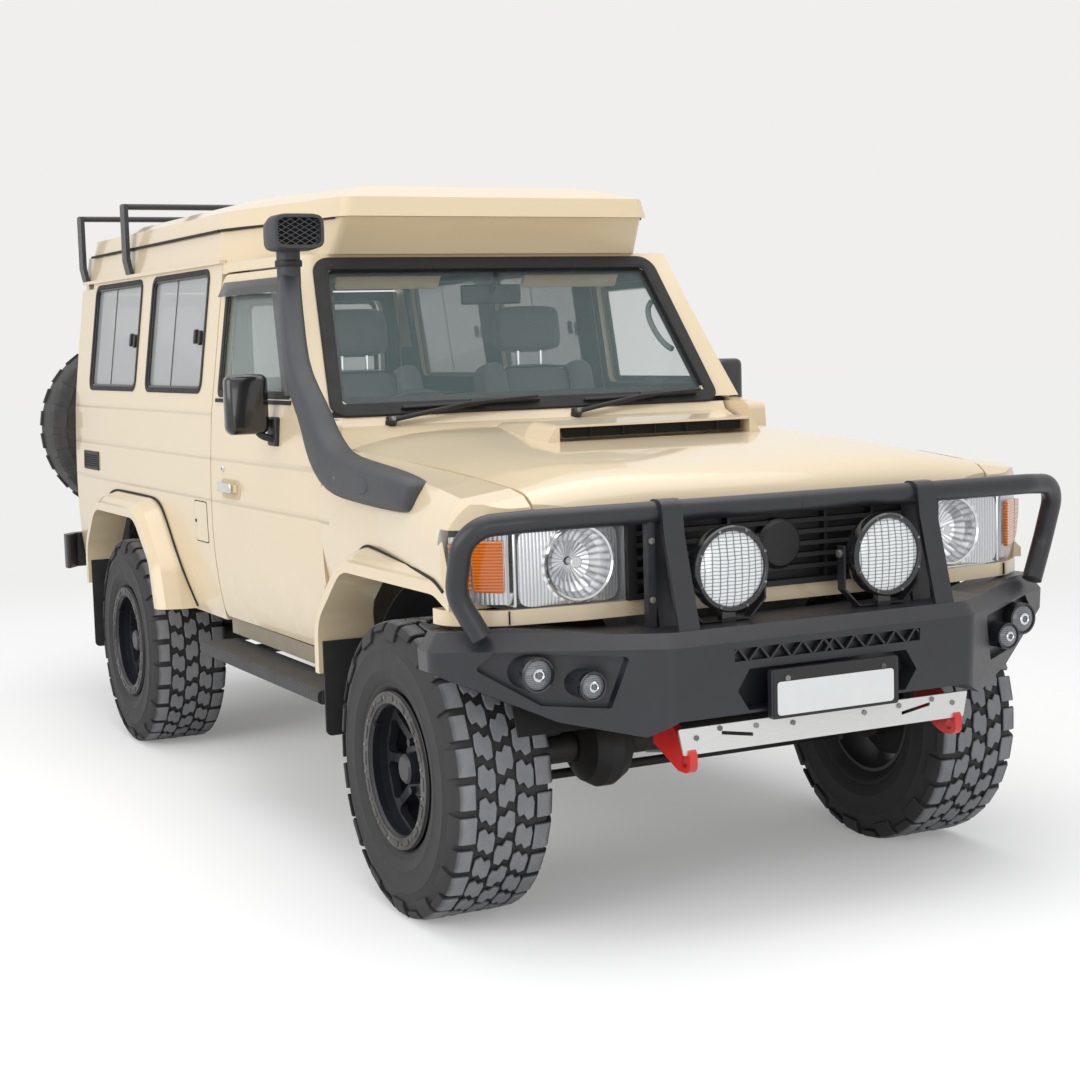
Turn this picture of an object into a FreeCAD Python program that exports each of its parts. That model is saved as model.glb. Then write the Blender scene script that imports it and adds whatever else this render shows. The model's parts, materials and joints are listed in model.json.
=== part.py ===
import FreeCAD, Part
import math
import os
from functools import cache
from FreeCAD import Vector

os.makedirs("parts", exist_ok=True)

# Lifted off-road wagon with a fixed rear body, right-hand drive. Millimetres.
# The front faces -Y, the driver's side is -X, up is +Z, and the tyres stand on Z = 0.
# The origin lies on the floor, in the middle of the whole vehicle's box.

# Overall layout along Y
WHEELBASE = 2980.0
FRONT_OVERHANG = 815.0        # front axle to the foremost face, the number plate
REAR_OVERHANG = 1490.0        # rear axle to the outer face of the spare wheel
LENGTH = FRONT_OVERHANG + WHEELBASE + REAR_OVERHANG
FRONT_AXLE_Y = FRONT_OVERHANG - LENGTH / 2
REAR_AXLE_Y = FRONT_AXLE_Y + WHEELBASE

# Wheels
TRACK_FRONT = 1650.0
TRACK_REAR = 1600.0
TYRE_RADIUS = 435.0
TYRE_WIDTH = 318.0
TREAD_WIDTH = 266.0
LUG_COUNT = 24
LUG_DEPTH = 11.0
LUG_LENGTH = 46.0
LUG_WIDTH = 72.0
RIM_RADIUS = 231.0
RIM_SEAT_RADIUS = 216.0
RIM_SEAT_WIDTH = 229.0
RIM_WALL = 11.0
RIM_RING_DEPTH = 34.0
RIM_RING_WIDTH = 36.0
RIM_DISC_X = 78.0             # outer face of the spoke disc, out from the wheel's middle
RIM_DISC_THICKNESS = 16.0
RIM_WINDOWS = 8
RIM_HUB_RADIUS = 84.0
RIM_HUB_DEPTH = 60.0           # hub face to the back of the spoke disc
RIM_CAP_RADIUS = 44.0
RIM_CAP_LENGTH = 44.0
STUD_CIRCLE = 150.0
STUD_RADIUS = 11.0
STUD_COUNT = 5
AXLE_Z = TYRE_RADIUS

# Steering
KINGPIN_X = 700.0
KNUCKLE_BALL_RADIUS = 84.0
KNUCKLE_SHELL = 16.0
KNUCKLE_GAP = 1.0
SPINDLE_RADIUS = 46.0
SHIELD_RADIUS = 168.0
SHIELD_THICKNESS = 8.0
STEER_ARM_BACK = 130.0
STEER_ARM_DROP = 95.0
STEER_ARM_THICKNESS = 20.0
TIE_ROD_RADIUS = 15.0
TIE_ROD_END_RADIUS = 22.0
TIE_ROD_END_HEIGHT = 34.0
SEAT_GAP = 0.3

# Chassis rails
RAIL_OUTER_X = 400.0
RAIL_WIDTH = 62.0

# Axles and springs
AXLE_TUBE_RADIUS = 46.0
DIFF_RADIUS = 132.0
FRONT_DIFF_X = -300.0
REAR_DIFF_X = -60.0
PINION_RADIUS = 52.0
PINION_LENGTH = 110.0
COIL_X = 480.0
COIL_RADIUS = 62.0
COIL_WIRE = 16.0
COIL_TURNS = 6
LEAF_X = 505.0
LEAF_WIDTH = 70.0
LEAF_THICKNESS = 42.0
LEAF_HALF_SPAN = 640.0
LEAF_ARCH = 120.0
ARM_X = RAIL_OUTER_X - RAIL_WIDTH / 2


# Chassis heights and length
RAIL_HEIGHT = 135.0
RAIL_Z = 505.0
RAIL_KICK_Z = 640.0
RAIL_FRONT_AHEAD = 640.0
RAIL_REAR_BEHIND = 1040.0
CROSS_WIDTH = 90.0
TANK_WIDTH = 560.0
TANK_LENGTH = 620.0
TANK_HEIGHT = 190.0

# Body side, as half widths at the levels below
SILL_Z = 640.0
LOWER_Z = 800.0
MID_Z = 1120.0
BELT_Z = 1425.0
GUTTER_Z = 1985.0
SEAM_Z = 2110.0
LID_EDGE_Z = 2178.0
ROOF_TOP_Z = 2245.0
HALF_SILL = 842.0
HALF_LOWER = 870.0
HALF_MID = 885.0
HALF_BELT = 870.0
HALF_TOP = 797.0
ROOF_FRONT_HALF = 612.0
BEYOND = 4 * HALF_TOP          # farther out than any piece, for cutting forms
FRONT_NARROW_LOW = 12.0       # how much narrower the body is at the front door's front edge
FRONT_NARROW_TOP = 82.0
WALL_LOWER = 72.0
WALL_UPPER = 42.0
PANEL = 26.0

# Body stations, back from the front axle
DOOR_FRONT_Y = FRONT_AXLE_Y + 782.0
DOOR_REAR_Y = FRONT_AXLE_Y + 1920.0
BODY_REAR_Y = REAR_AXLE_Y + 1070.0
FIREWALL_Y = DOOR_FRONT_Y - 60.0
SCREEN_FOOT_Y = FRONT_AXLE_Y + 942.0
SCREEN_FOOT_Z = 1424.0
SCREEN_TOP_Y = FRONT_AXLE_Y + 1294.0
SCREEN_TOP_Z = 1970.0
SCREEN_HALF_FOOT = 767.0
SCREEN_HALF_TOP = 683.0
NOSE_Y = FRONT_AXLE_Y - 560.0
ROOF_FRONT_Y = FRONT_AXLE_Y + 1180.0
DOOR_GAP = 8.0
ROCKER_INNER_X = HALF_SILL - FRONT_NARROW_LOW - WALL_LOWER - DOOR_GAP - 20.0
DOOR_HINGE_X = HALF_MID - FRONT_NARROW_LOW - 4.0
DOOR_HINGE_Z = (860.0, 1130.0)
HINGE_RADIUS = 7.0
REAR_HINGE_Z = (1140.0, 1480.0, 1820.0)
DOOR_SILL_Z = 655.0
DOOR_TOP_Z = 1945.0
PILLAR_LEAN = (SCREEN_TOP_Y - SCREEN_FOOT_Y) / (SCREEN_TOP_Z - SCREEN_FOOT_Z)

# Windows
WINDOW_LOW_Z = 1510.0
WINDOW_HIGH_Z = 1962.0
WINDOW_CORNER = 45.0
SIDE_WINDOW_WIDTH = 760.0
SIDE_WINDOW_FIRST_Y = FRONT_AXLE_Y + 2082.0
SIDE_WINDOW_PITCH = 932.0
GLASS = 6.0
DOOR_WINDOW_LOW_Z = 1488.0
DOOR_WINDOW_HIGH_Z = 1888.0
DOOR_PILLAR = 52.0

# Wheel arches and flares
ARCH_TOP_Z = 985.0
ARCH_BACK_FRONT = 562.0       # front axle to the rear edge of its wheel opening
ARCH_BACK_REAR = 492.0
FLARE_WIDTH = 62.0
FLARE_OUT = 985.0
FLARE_LIP = 34.0

# Front fenders and bonnet
FENDER_FRONT_HALF = 985.0
FENDER_LINES = ((0.0, 985.0), (170.0, 982.0), (330.0, 962.0), (560.0, 928.0), (820.0, 896.0), (1100.0, 878.0),
                (1338.0, HALF_MID - FRONT_NARROW_LOW))
FENDER_WALL = 30.0
BONNET_HALF_FRONT = 772.0
BONNET_HALF_REAR = 790.0
BONNET_FRONT_Z = 1198.0
BONNET_REAR_Z = 1333.0
BONNET_CREASE_X = 540.0
# Distance back from the bonnet's front edge, height at its side, height in its middle
BONNET_LINES = ((0.0, BONNET_FRONT_Z, 1213.0), (14.0, 1224.0, 1244.0), (50.0, 1250.0, 1276.0),
                (130.0, 1266.0, 1302.0), (320.0, 1282.0, 1328.0), (760.0, 1307.0, 1359.0),
                (1250.0, BONNET_REAR_Z, 1384.0))
BONNET_THICKNESS = 24.0
BONNET_GAP = 8.0
BONNET_FRONT_Y = NOSE_Y + 20.0
BONNET_REAR_Y = FIREWALL_Y - 12.0
SCOOP_HALF = 345.0
SCOOP_TOP_Z = 1403.0
SCOOP_MOUTH = 42.0
SCOOP_BACK = 112.0            # scoop mouth, behind the front axle
SCOOP_LENGTH = 540.0
LAMP_LOW_Z = 950.0
LAMP_HIGH_Z = 1165.0
LAMP_INNER_X = 505.0
LAMP_OUTER_X = 984.0
LAMP_DEPTH = 190.0
VALANCE_LOW_Z = 908.0
VALANCE_REAR_Y = NOSE_Y + 215.0
GRILLE_Z = LAMP_LOW_Z
GRILLE_TOP_Z = 1178.0
GRILLE_BARS = 6
GRILLE_BAR = 6.0
STOP_TOP_Z = 1228.0

# Rear doors and spare wheel
REAR_DOOR_HALF = 800.0
REAR_SPLIT_X = -100.0
REAR_DOOR_LOW_Z = 852.0
REAR_DOOR_THICKNESS = 60.0
SPARE_X = -520.0
SPARE_Z = 1302.0
SPARE_GAP = REAR_OVERHANG - 1070.0 - TYRE_WIDTH

# Front protection
BUMPER_FACE = 790.0           # front axle to the bumper's face
BUMPER_TOP_Z = 885.0
BUMPER_LOW_Z = 640.0
BUMPER_CENTRE_HALF = 500.0
BUMPER_HALF = 1055.0
BUMPER_PLATE = 34.0
BAR_TUBE_RADIUS = 30.0
BAR_TUBE_Z = 1195.0
BAR_TUBE_AHEAD = 640.0
BAR_HALF = 1000.0
STRAP_X = 427.0
STRAP_WIDTH = 64.0
STRAP_THICKNESS = 12.0
DRIVE_LAMP_X = 262.0
DRIVE_LAMP_Z = 1033.0
DRIVE_LAMP_RADIUS = 117.0
DRIVE_LAMP_DEPTH = 92.0
HOOK_X = 445.0
HOOK_THICKNESS = 24.0
HOOK_EYE_Z = 533.0
HOOK_EYE_BACK = 31.0
HOOK_EYE_RADIUS = 15.0

# Fitted equipment
STEP_OUTER_X = 965.0
STEP_WIDTH = 170.0
STEP_Z = 525.0
STEP_THICKNESS = 46.0
FLAP_THICKNESS = 8.0
FLAP_WIDTH = 235.0
MIRROR_WIDTH = 150.0
MIRROR_HEIGHT = 205.0
MIRROR_DEPTH = 70.0
MIRROR_OUTER_X = 1040.0
BAR_LEG_X = 822.0
ROOF_BAR_Z = 2290.0
ROOF_BAR_FIRST_Y = REAR_AXLE_Y + 210.0
ROOF_BAR_PITCH = 760.0


def box(x0, x1, y0, y1, z0, z1):
    return Part.makeBox(x1 - x0, y1 - y0, z1 - z0, Vector(x0, y0, z0))


def fuse(shapes):
    whole = shapes[0]
    for shape in shapes[1:]:
        whole = whole.fuse(shape)
    return whole.removeSplitter()


def mirrored(shape):
    return shape.mirror(Vector(0, 0, 0), Vector(1, 0, 0))


def on_side(shape, side):
    """A piece is drawn on the left, +X; side -1 gives its twin on the right."""
    return shape if side > 0 else mirrored(shape)


def rounded_path(points, radii, closed):
    """Edges through the points, each corner rounded by a tangent arc."""
    count = len(points)
    if not isinstance(radii, (list, tuple)):
        radii = [radii] * count
    corners = []
    for i, point in enumerate(points):
        at_end = not closed and i in (0, count - 1)
        if at_end or radii[i] <= 0:
            corners.append((point, None, point))
            continue
        back = points[i - 1] - point
        ahead = points[(i + 1) % count] - point
        half = back.getAngle(ahead) / 2
        reach = min(radii[i] / math.tan(half), 0.48 * min(back.Length, ahead.Length))
        radius = reach * math.tan(half)
        back.normalize()
        ahead.normalize()
        inward = back + ahead
        inward.normalize()
        middle = point + inward * (radius / math.sin(half) - radius)
        corners.append((point + back * reach, middle, point + ahead * reach))
    edges = []
    for i, (start, middle, end) in enumerate(corners):
        if middle is not None:
            edges.append(Part.Arc(start, middle, end).toShape())
        if closed or i < count - 1:
            follow = corners[(i + 1) % count][0]
            if (follow - end).Length > 1e-6:
                edges.append(Part.makeLine(end, follow))
    return edges


def outline(points, radii=0.0):
    return Part.Wire(rounded_path([Vector(*p) for p in points], radii, True))


def prism(points, axis, low, high, radii=0.0):
    """Extrude a flat outline along an axis; its points are the other two coordinates in order."""
    place = {"x": lambda u, w: (low, u, w), "y": lambda u, w: (u, low, w), "z": lambda u, w: (u, w, low)}[axis]
    along = {"x": Vector(1, 0, 0), "y": Vector(0, 1, 0), "z": Vector(0, 0, 1)}[axis]
    face = Part.Face(outline([place(u, w) for u, w in points], radii))
    return face.extrude(along * (high - low))


def tube(points, radius, bend):
    path = Part.Wire(rounded_path([Vector(*p) for p in points], bend, False))
    start = Vector(*points[0])
    ring = Part.Wire(Part.makeCircle(radius, start, Vector(*points[1]) - start))
    return path.makePipeShell([ring], True, False)


def loft(wires, ruled=True):
    return Part.makeLoft(wires, True, ruled)


def turned(profile, centre, direction=(1, 0, 0)):
    """Revolve (along, radius) points about an axis through the centre."""
    wire = Part.makePolygon([Vector(a, 0, r) for a, r in profile] + [Vector(profile[0][0], 0, profile[0][1])])
    shape = Part.Face(wire).revolve(Vector(0, 0, 0), Vector(1, 0, 0), 360)
    shape.Placement = FreeCAD.Placement(Vector(*centre), FreeCAD.Rotation(Vector(1, 0, 0), Vector(*direction)))
    return shape


def cylinder(radius, start, end):
    a = Vector(*start)
    b = Vector(*end)
    return Part.makeCylinder(radius, (b - a).Length, a, b - a)


def save(name, shape):
    shape.exportStep("parts/" + name + ".step")
    box_ = shape.BoundBox
    print(f"{name:20s} solids {len(shape.Solids)} valid {shape.isValid()} volume {shape.Volume / 1e6:9.2f} l"
          f"  x {box_.XMin:.0f} {box_.XMax:.0f} y {box_.YMin:.0f} {box_.YMax:.0f} z {box_.ZMin:.0f} {box_.ZMax:.0f}")


# Body envelope: the outer skin and, one wall in, the inner skin

def narrowing(y):
    """0 at the front door's rear edge and behind, 1 at its front edge."""
    return max(0.0, min(1.2, (DOOR_REAR_Y - y) / (DOOR_REAR_Y - DOOR_FRONT_Y)))


def body_section(y, wall_low, wall_high, bottom, top):
    share = narrowing(y)
    low = FRONT_NARROW_LOW * share
    high = FRONT_NARROW_TOP * share
    lean = (HALF_TOP - high - HALF_BELT + low) / (GUTTER_Z - BELT_Z)
    sill_lean = (HALF_LOWER - HALF_SILL) / (LOWER_Z - SILL_Z)
    side = [(HALF_SILL - low - wall_low + sill_lean * (bottom - SILL_Z), bottom),
            (HALF_LOWER - low - wall_low, LOWER_Z), (HALF_MID - low - wall_low, MID_Z),
            (HALF_BELT - low - wall_low, BELT_Z), (HALF_BELT - low - wall_high, BELT_Z),
            (HALF_BELT - low - wall_high + lean * (top - BELT_Z), top)]
    left = Part.BSplineCurve()
    left.interpolate([Vector(x, y, z) for x, z in side[:4]])
    right = Part.BSplineCurve()
    right.interpolate([Vector(-x, y, z) for x, z in reversed(side[:4])])
    edges = [left.toShape()]
    if wall_low != wall_high:
        edges.append(Part.makeLine(Vector(side[3][0], y, BELT_Z), Vector(side[4][0], y, BELT_Z)))
    edges.append(Part.makeLine(Vector(side[4][0], y, BELT_Z), Vector(side[5][0], y, top)))
    edges.append(Part.makeLine(Vector(side[5][0], y, top), Vector(-side[5][0], y, top)))
    edges.append(Part.makeLine(Vector(-side[5][0], y, top), Vector(-side[4][0], y, BELT_Z)))
    if wall_low != wall_high:
        edges.append(Part.makeLine(Vector(-side[4][0], y, BELT_Z), Vector(-side[3][0], y, BELT_Z)))
    edges.append(right.toShape())
    edges.append(Part.makeLine(Vector(-side[0][0], y, bottom), Vector(side[0][0], y, bottom)))
    return Part.Wire(edges)


def envelope(front, rear, wall_low=0.0, wall_high=0.0, bottom=SILL_Z, top=GUTTER_Z):
    parts = []
    if front < DOOR_REAR_Y:
        ends = (front, min(rear, DOOR_REAR_Y))
        parts.append(loft([body_section(y, wall_low, wall_high, bottom, top) for y in ends]))
    if rear > DOOR_REAR_Y:
        start = max(front, DOOR_REAR_Y)
        face = Part.Face(body_section(start, wall_low, wall_high, bottom, top))
        parts.append(face.extrude(Vector(0, rear - start, 0)))
    return parts[0] if len(parts) == 1 else parts[0].fuse(parts[1])


def wall(front, rear, bottom=SILL_Z, top=GUTTER_Z):
    """Both side walls between two stations, open at the ends, top and bottom."""
    outer = envelope(front, rear, 0.0, 0.0, bottom, top)
    inner = envelope(front - 50, rear + 50, WALL_LOWER, WALL_UPPER, bottom - 50, top + 50)
    return outer.cut(inner)


def pillar_y(z, back=0.0):
    return SCREEN_FOOT_Y + PILLAR_LEAN * (z - SCREEN_FOOT_Z) + back


def window_prism(front, rear, low, high, corner, x0, x1):
    return prism([(front, low), (rear, low), (rear, high), (front, high)], "x", x0, x1, corner)


def rear_arch(grow):
    """Side outline of the rear wheel opening, drawn larger by grow."""
    y = REAR_AXLE_Y
    return [(y + ARCH_BACK_REAR + grow, SILL_Z - 200), (y + ARCH_BACK_REAR + grow, 805),
            (y + 330 + 0.6 * grow, ARCH_TOP_Z + grow), (y - 300 - 0.6 * grow, ARCH_TOP_Z + grow),
            (y - 500 - grow, 820), (y - 620 - 1.3 * grow, SILL_Z - 200)]


def front_arch(grow):
    """Side outline of the front wheel opening, drawn larger by grow."""
    y = FRONT_AXLE_Y
    return [(y + ARCH_BACK_FRONT + grow, SILL_Z - 200), (y + ARCH_BACK_FRONT + grow, 805),
            (y + 350 + 0.6 * grow, ARCH_TOP_Z + grow), (y - 340 - 0.6 * grow, ARCH_TOP_Z + grow),
            (y - 560 - grow, 900), (y - 620 - grow, SILL_Z - 200)]


def door_outline(inset):
    """Side outline of the front door; inset shrinks it on every side."""
    low = DOOR_FRONT_Y + inset
    rear = DOOR_REAR_Y - inset
    top = DOOR_TOP_Z - inset
    back = 62.0 + inset
    shoulder = BELT_Z + 20 - inset
    return [(low, DOOR_SILL_Z + inset), (rear, DOOR_SILL_Z + inset), (rear, top), (pillar_y(top, back), top),
            (pillar_y(shoulder, back), shoulder), (low, BELT_Z - inset)]


def door_corners(grow):
    """Corner radii of the door's outline; the fifth corner turns the other way."""
    return [40.0 + grow, 40.0 + grow, 60.0 + grow, 50.0 + grow, 30.0 - grow, 30.0 + grow]


@cache
def front_door(side):
    slab = wall(DOOR_FRONT_Y - 20, DOOR_REAR_Y, SILL_Z, GUTTER_Z)
    slab = slab.common(prism(door_outline(DOOR_GAP / 2), "x", 0, BEYOND, door_corners(0)))
    front_foot = pillar_y(DOOR_WINDOW_LOW_Z, 62.0 + DOOR_PILLAR)
    front_head = pillar_y(DOOR_WINDOW_HIGH_Z, 62.0 + DOOR_PILLAR)
    rear = DOOR_REAR_Y - DOOR_PILLAR
    opening = [(front_foot, DOOR_WINDOW_LOW_Z), (rear, DOOR_WINDOW_LOW_Z), (rear, DOOR_WINDOW_HIGH_Z),
               (front_head, DOOR_WINDOW_HIGH_Z)]
    cut = prism(opening, "x", 0, BEYOND, 28.0)
    glass_skin = envelope(DOOR_FRONT_Y, DOOR_REAR_Y, 0, 14).cut(
        envelope(DOOR_FRONT_Y - 50, DOOR_REAR_Y + 50, WALL_LOWER, 14 + GLASS, SILL_Z - 50, GUTTER_Z + 50))
    glass = glass_skin.common(prism(opening, "x", 0, BEYOND, 28.0))
    handle_y = DOOR_REAR_Y - 230
    half = HALF_MID - FRONT_NARROW_LOW * narrowing(handle_y)
    handle = prism([(half - 6, handle_y - 90), (half + 26, handle_y - 60), (half + 26, handle_y + 60),
                    (half - 6, handle_y + 90)], "z", 1146, 1174, 12.0)
    door = fuse([slab.cut(cut), handle] + hinge_barrels(DOOR_HINGE_X, DOOR_FRONT_Y, DOOR_HINGE_Z, HINGE_RADIUS, 60))
    return on_side(door, side), on_side(glass, side)


@cache
def body_side(side):
    start = DOOR_REAR_Y + DOOR_GAP / 2
    outer = envelope(start, BODY_REAR_Y)
    corner = [(0, start - 10), (HALF_MID + 10, start - 10), (HALF_MID + 10, BODY_REAR_Y), (0, BODY_REAR_Y)]
    outer = outer.common(prism(corner, "z", 0, BEYOND, [0, 0, 90.0, 0]))
    inner = envelope(start - 50, BODY_REAR_Y - REAR_DOOR_THICKNESS - 30, WALL_LOWER, WALL_UPPER, SILL_Z - 50,
                     GUTTER_Z + 50)
    shell = outer.cut(inner).common(box(0, BEYOND, start, BODY_REAR_Y, 0, BEYOND))
    shell = shell.cut(box(-10, REAR_DOOR_HALF, BODY_REAR_Y - 200, BODY_REAR_Y + 10, 0, BEYOND))
    for i in range(2):
        front = SIDE_WINDOW_FIRST_Y + i * SIDE_WINDOW_PITCH
        shell = shell.cut(window_prism(front, front + SIDE_WINDOW_WIDTH, WINDOW_LOW_Z, WINDOW_HIGH_Z,
                                       WINDOW_CORNER, 0, BEYOND))
    shell = shell.cut(prism(rear_arch(0), "x", 0, BEYOND, [0, 120, 160, 160, 120, 0]))
    shell = fuse([shell, flare(rear_arch, REAR_AXLE_Y)])
    for barrel in hinge_barrels(REAR_DOOR_HALF, BODY_REAR_Y + 6, REAR_HINGE_Z, HINGE_RADIUS + 2 + SEAT_GAP, 72):
        shell = shell.cut(barrel)
    return on_side(shell, side)


def flare(arch, axle):
    """Soft raised band round a wheel opening, rolling over to a narrow outer lip."""
    rings = []
    for x, grow in ((HALF_SILL - 22, FLARE_WIDTH + 26), (HALF_MID + 12, FLARE_WIDTH + 14),
                    (FLARE_OUT - 30, FLARE_WIDTH - 4), (FLARE_OUT - 9, FLARE_WIDTH - 22), (FLARE_OUT, FLARE_LIP)):
        rings.append(outline([(x, y, z) for y, z in arch(grow)], [0, 190, 250, 250, 190, 0]))
    band = loft(rings)
    hole = prism(arch(0), "x", 0, BEYOND, [0, 120, 160, 160, 120, 0])
    return band.cut(hole).common(box(0, BEYOND, axle - 1200, axle + 1200, SILL_Z, BEYOND))


def fixed_glass():
    panes = []
    skin = envelope(DOOR_REAR_Y, BODY_REAR_Y, 0, 12).cut(
        envelope(DOOR_REAR_Y - 50, BODY_REAR_Y + 50, WALL_LOWER, 12 + GLASS, SILL_Z - 50, GUTTER_Z + 50))
    for i in range(2):
        front = SIDE_WINDOW_FIRST_Y + i * SIDE_WINDOW_PITCH
        pane = window_prism(front, front + SIDE_WINDOW_WIDTH, WINDOW_LOW_Z, WINDOW_HIGH_Z, WINDOW_CORNER, 0, BEYOND)
        pane = skin.common(pane)
        panes += [pane, mirrored(pane)]
    panes.append(screen_slab(0.0, 16.0, GLASS))
    return Part.makeCompound(panes)


def screen_slab(grow, deep, thickness):
    """A slab in the leaning plane of the windscreen, deep behind its face."""
    foot = SCREEN_HALF_FOOT - 34 + grow
    head = SCREEN_HALF_TOP - 34 + grow
    low = SCREEN_FOOT_Z + 30 - grow
    high = SCREEN_TOP_Z - 30 + grow
    points = [(-foot, pillar_y(low, deep), low), (foot, pillar_y(low, deep), low),
              (head, pillar_y(high, deep), high), (-head, pillar_y(high, deep), high)]
    return Part.Face(outline(points, 55.0 + grow)).extrude(Vector(0, thickness, 0))


@cache
def windscreen_frame():
    """A pillars, header and cowl around the windscreen, and the posts that the doors hang on."""
    start = FIREWALL_Y
    outer = envelope(start, DOOR_REAR_Y)
    shell = outer.cut(envelope(start - 50, DOOR_REAR_Y + 50, WALL_LOWER, WALL_UPPER, SILL_Z - 50, GUTTER_Z + 50))
    keep = prism([(pillar_y(BELT_Z - 60), BELT_Z - 60), (pillar_y(BELT_Z, 62), BELT_Z), (pillar_y(DOOR_TOP_Z, 62), DOOR_TOP_Z),
                  (DOOR_REAR_Y, DOOR_TOP_Z), (DOOR_REAR_Y, GUTTER_Z + 5), (pillar_y(GUTTER_Z + 5), GUTTER_Z + 5)],
                 "x", -BEYOND, BEYOND)
    doors = prism(door_outline(-DOOR_GAP / 2), "x", -BEYOND, BEYOND, door_corners(DOOR_GAP))
    low_inner = HALF_BELT - FRONT_NARROW_LOW - WALL_LOWER - DOOR_GAP
    high_inner = HALF_TOP - FRONT_NARROW_TOP - WALL_UPPER - DOOR_GAP
    doors = doors.cut(box(-low_inner, low_inner, start - 50, DOOR_REAR_Y + 50, 0, BELT_Z))
    doors = doors.cut(box(-high_inner, high_inner, start - 50, DOOR_REAR_Y + 50, BELT_Z, ROOF_TOP_Z))
    half_foot = HALF_BELT - FRONT_NARROW_LOW - 20
    foot_z = SCREEN_FOOT_Z - 40
    half_head = HALF_TOP - FRONT_NARROW_TOP
    face = outline([(-half_foot, pillar_y(foot_z), foot_z), (half_foot, pillar_y(foot_z), foot_z),
                    (half_head, pillar_y(GUTTER_Z), GUTTER_Z), (-half_head, pillar_y(GUTTER_Z), GUTTER_Z)])
    frame = Part.Face(face).extrude(Vector(0, 58, 0)).cut(screen_slab(-8, -60, 200))
    frame = frame.cut(screen_slab(0, 16, GLASS)).common(envelope(start, DOOR_REAR_Y))
    lip_z = BONNET_REAR_Z - 20
    cowl = prism([(start, lip_z - 30), (pillar_y(foot_z), foot_z - 30), (pillar_y(foot_z) + 58, foot_z - 30),
                  (pillar_y(foot_z) + 58, foot_z + 10), (pillar_y(foot_z), foot_z + 10), (start, lip_z)], "x",
                 -half_foot, half_foot)
    posts = [box(*sorted((s * ROCKER_INNER_X, s * (ROCKER_INNER_X + 62))), start + PANEL, DOOR_FRONT_Y - DOOR_GAP / 2,
                 SILL_Z + 8 + PANEL, lip_z - 10) for s in (1, -1)]
    whole = fuse([shell.common(keep), frame, cowl] + posts).cut(doors)
    whole = whole.cut(fender(1)).cut(fender(-1)).cut(floor_pan())
    return max(whole.Solids, key=lambda one: one.Volume)


def roof_shell():
    def ring(inset, z, front):
        back = BODY_REAR_Y - inset
        rear_half = HALF_TOP - inset
        front_half = ROOF_FRONT_HALF - inset
        bend = DOOR_REAR_Y + 40
        return outline([(front_half, front + inset, z), (rear_half, bend, z), (rear_half, back, z),
                        (-rear_half, back, z), (-rear_half, bend, z), (-front_half, front + inset, z)],
                       [30, 60, 60, 60, 60, 30])
    outer = loft([ring(0, GUTTER_Z, ROOF_FRONT_Y + 100), ring(16, SEAM_Z, ROOF_FRONT_Y)])
    inner = loft([ring(PANEL, GUTTER_Z - 10, ROOF_FRONT_Y + 100), ring(PANEL + 16, SEAM_Z + 10, ROOF_FRONT_Y)])
    shell = outer.cut(inner)
    gutter = prism([(0, DOOR_REAR_Y), (HALF_TOP + 16, DOOR_REAR_Y), (HALF_TOP + 16, BODY_REAR_Y - 60),
                    (0, BODY_REAR_Y - 60)], "z", GUTTER_Z, GUTTER_Z + 14)
    gutter = gutter.cut(box(-10, HALF_TOP - 10, DOOR_REAR_Y - 10, BODY_REAR_Y, 0, BEYOND))
    back_top = GUTTER_Z
    header = box(-HALF_TOP + 12, HALF_TOP - 12, BODY_REAR_Y - REAR_DOOR_THICKNESS, BODY_REAR_Y, DOOR_TOP_Z, back_top)
    return fuse([shell, gutter, mirrored(gutter), header.cut(box(-BEYOND, -REAR_DOOR_HALF, -BEYOND, BEYOND, 0, BEYOND))
                .cut(box(REAR_DOOR_HALF, BEYOND, -BEYOND, BEYOND, 0, BEYOND))])


def roof_lid():
    def ring(inset, end, z):
        rear_half = HALF_TOP - 12 - inset
        front_half = HALF_TOP - 190 - inset
        bend = DOOR_REAR_Y + 20
        front = ROOF_FRONT_Y - 12 + end
        back = BODY_REAR_Y - 130 - end
        return outline([(front_half, front, z), (rear_half, bend, z), (rear_half, back, z), (-rear_half, back, z),
                        (-rear_half, bend, z), (-front_half, front, z)], [40, 90, 60, 60, 90, 40])
    low = SEAM_Z + SEAT_GAP
    skirt = loft([ring(0, 0, low), ring(14, 14, LID_EDGE_Z)])
    crown = loft([ring(14, 14, LID_EDGE_Z), ring(150, 170, ROOF_TOP_Z - 18), ring(420, 620, ROOF_TOP_Z)])
    hollow = loft([ring(34, 60, low - 5), ring(60, 80, LID_EDGE_Z - 16)])
    return fuse([skirt, crown]).cut(hollow)


def bonnet_half(y):
    """Half width of the bonnet at a station."""
    share = (y - BONNET_FRONT_Y) / (BONNET_REAR_Y - BONNET_FRONT_Y)
    return BONNET_HALF_FRONT + (BONNET_HALF_REAR - BONNET_HALF_FRONT) * share - BONNET_GAP / 2


def fender_half(y):
    """Half width over the fenders: full at the nose, then easing in to the front door."""
    last = FENDER_LINES[0]
    for row in FENDER_LINES[1:]:
        if y <= NOSE_Y + row[0]:
            share = (y - NOSE_Y - last[0]) / (row[0] - last[0])
            return last[1] + (row[1] - last[1]) * max(0.0, share)
        last = row
    return last[1]


def nose_plan(back, rear):
    """Half outline of the nose seen from above, moved back and run on to the rear."""
    front = NOSE_Y + back
    return [(0, front + 8), (620, front + 8), (862, front + 44), (FENDER_FRONT_HALF + 4, front + 142),
            (FENDER_FRONT_HALF + 4, max(rear, front + 300)), (0, max(rear, front + 300))]


NOSE_CORNERS = [0, 240, 170, 90, 0, 0]


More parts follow.
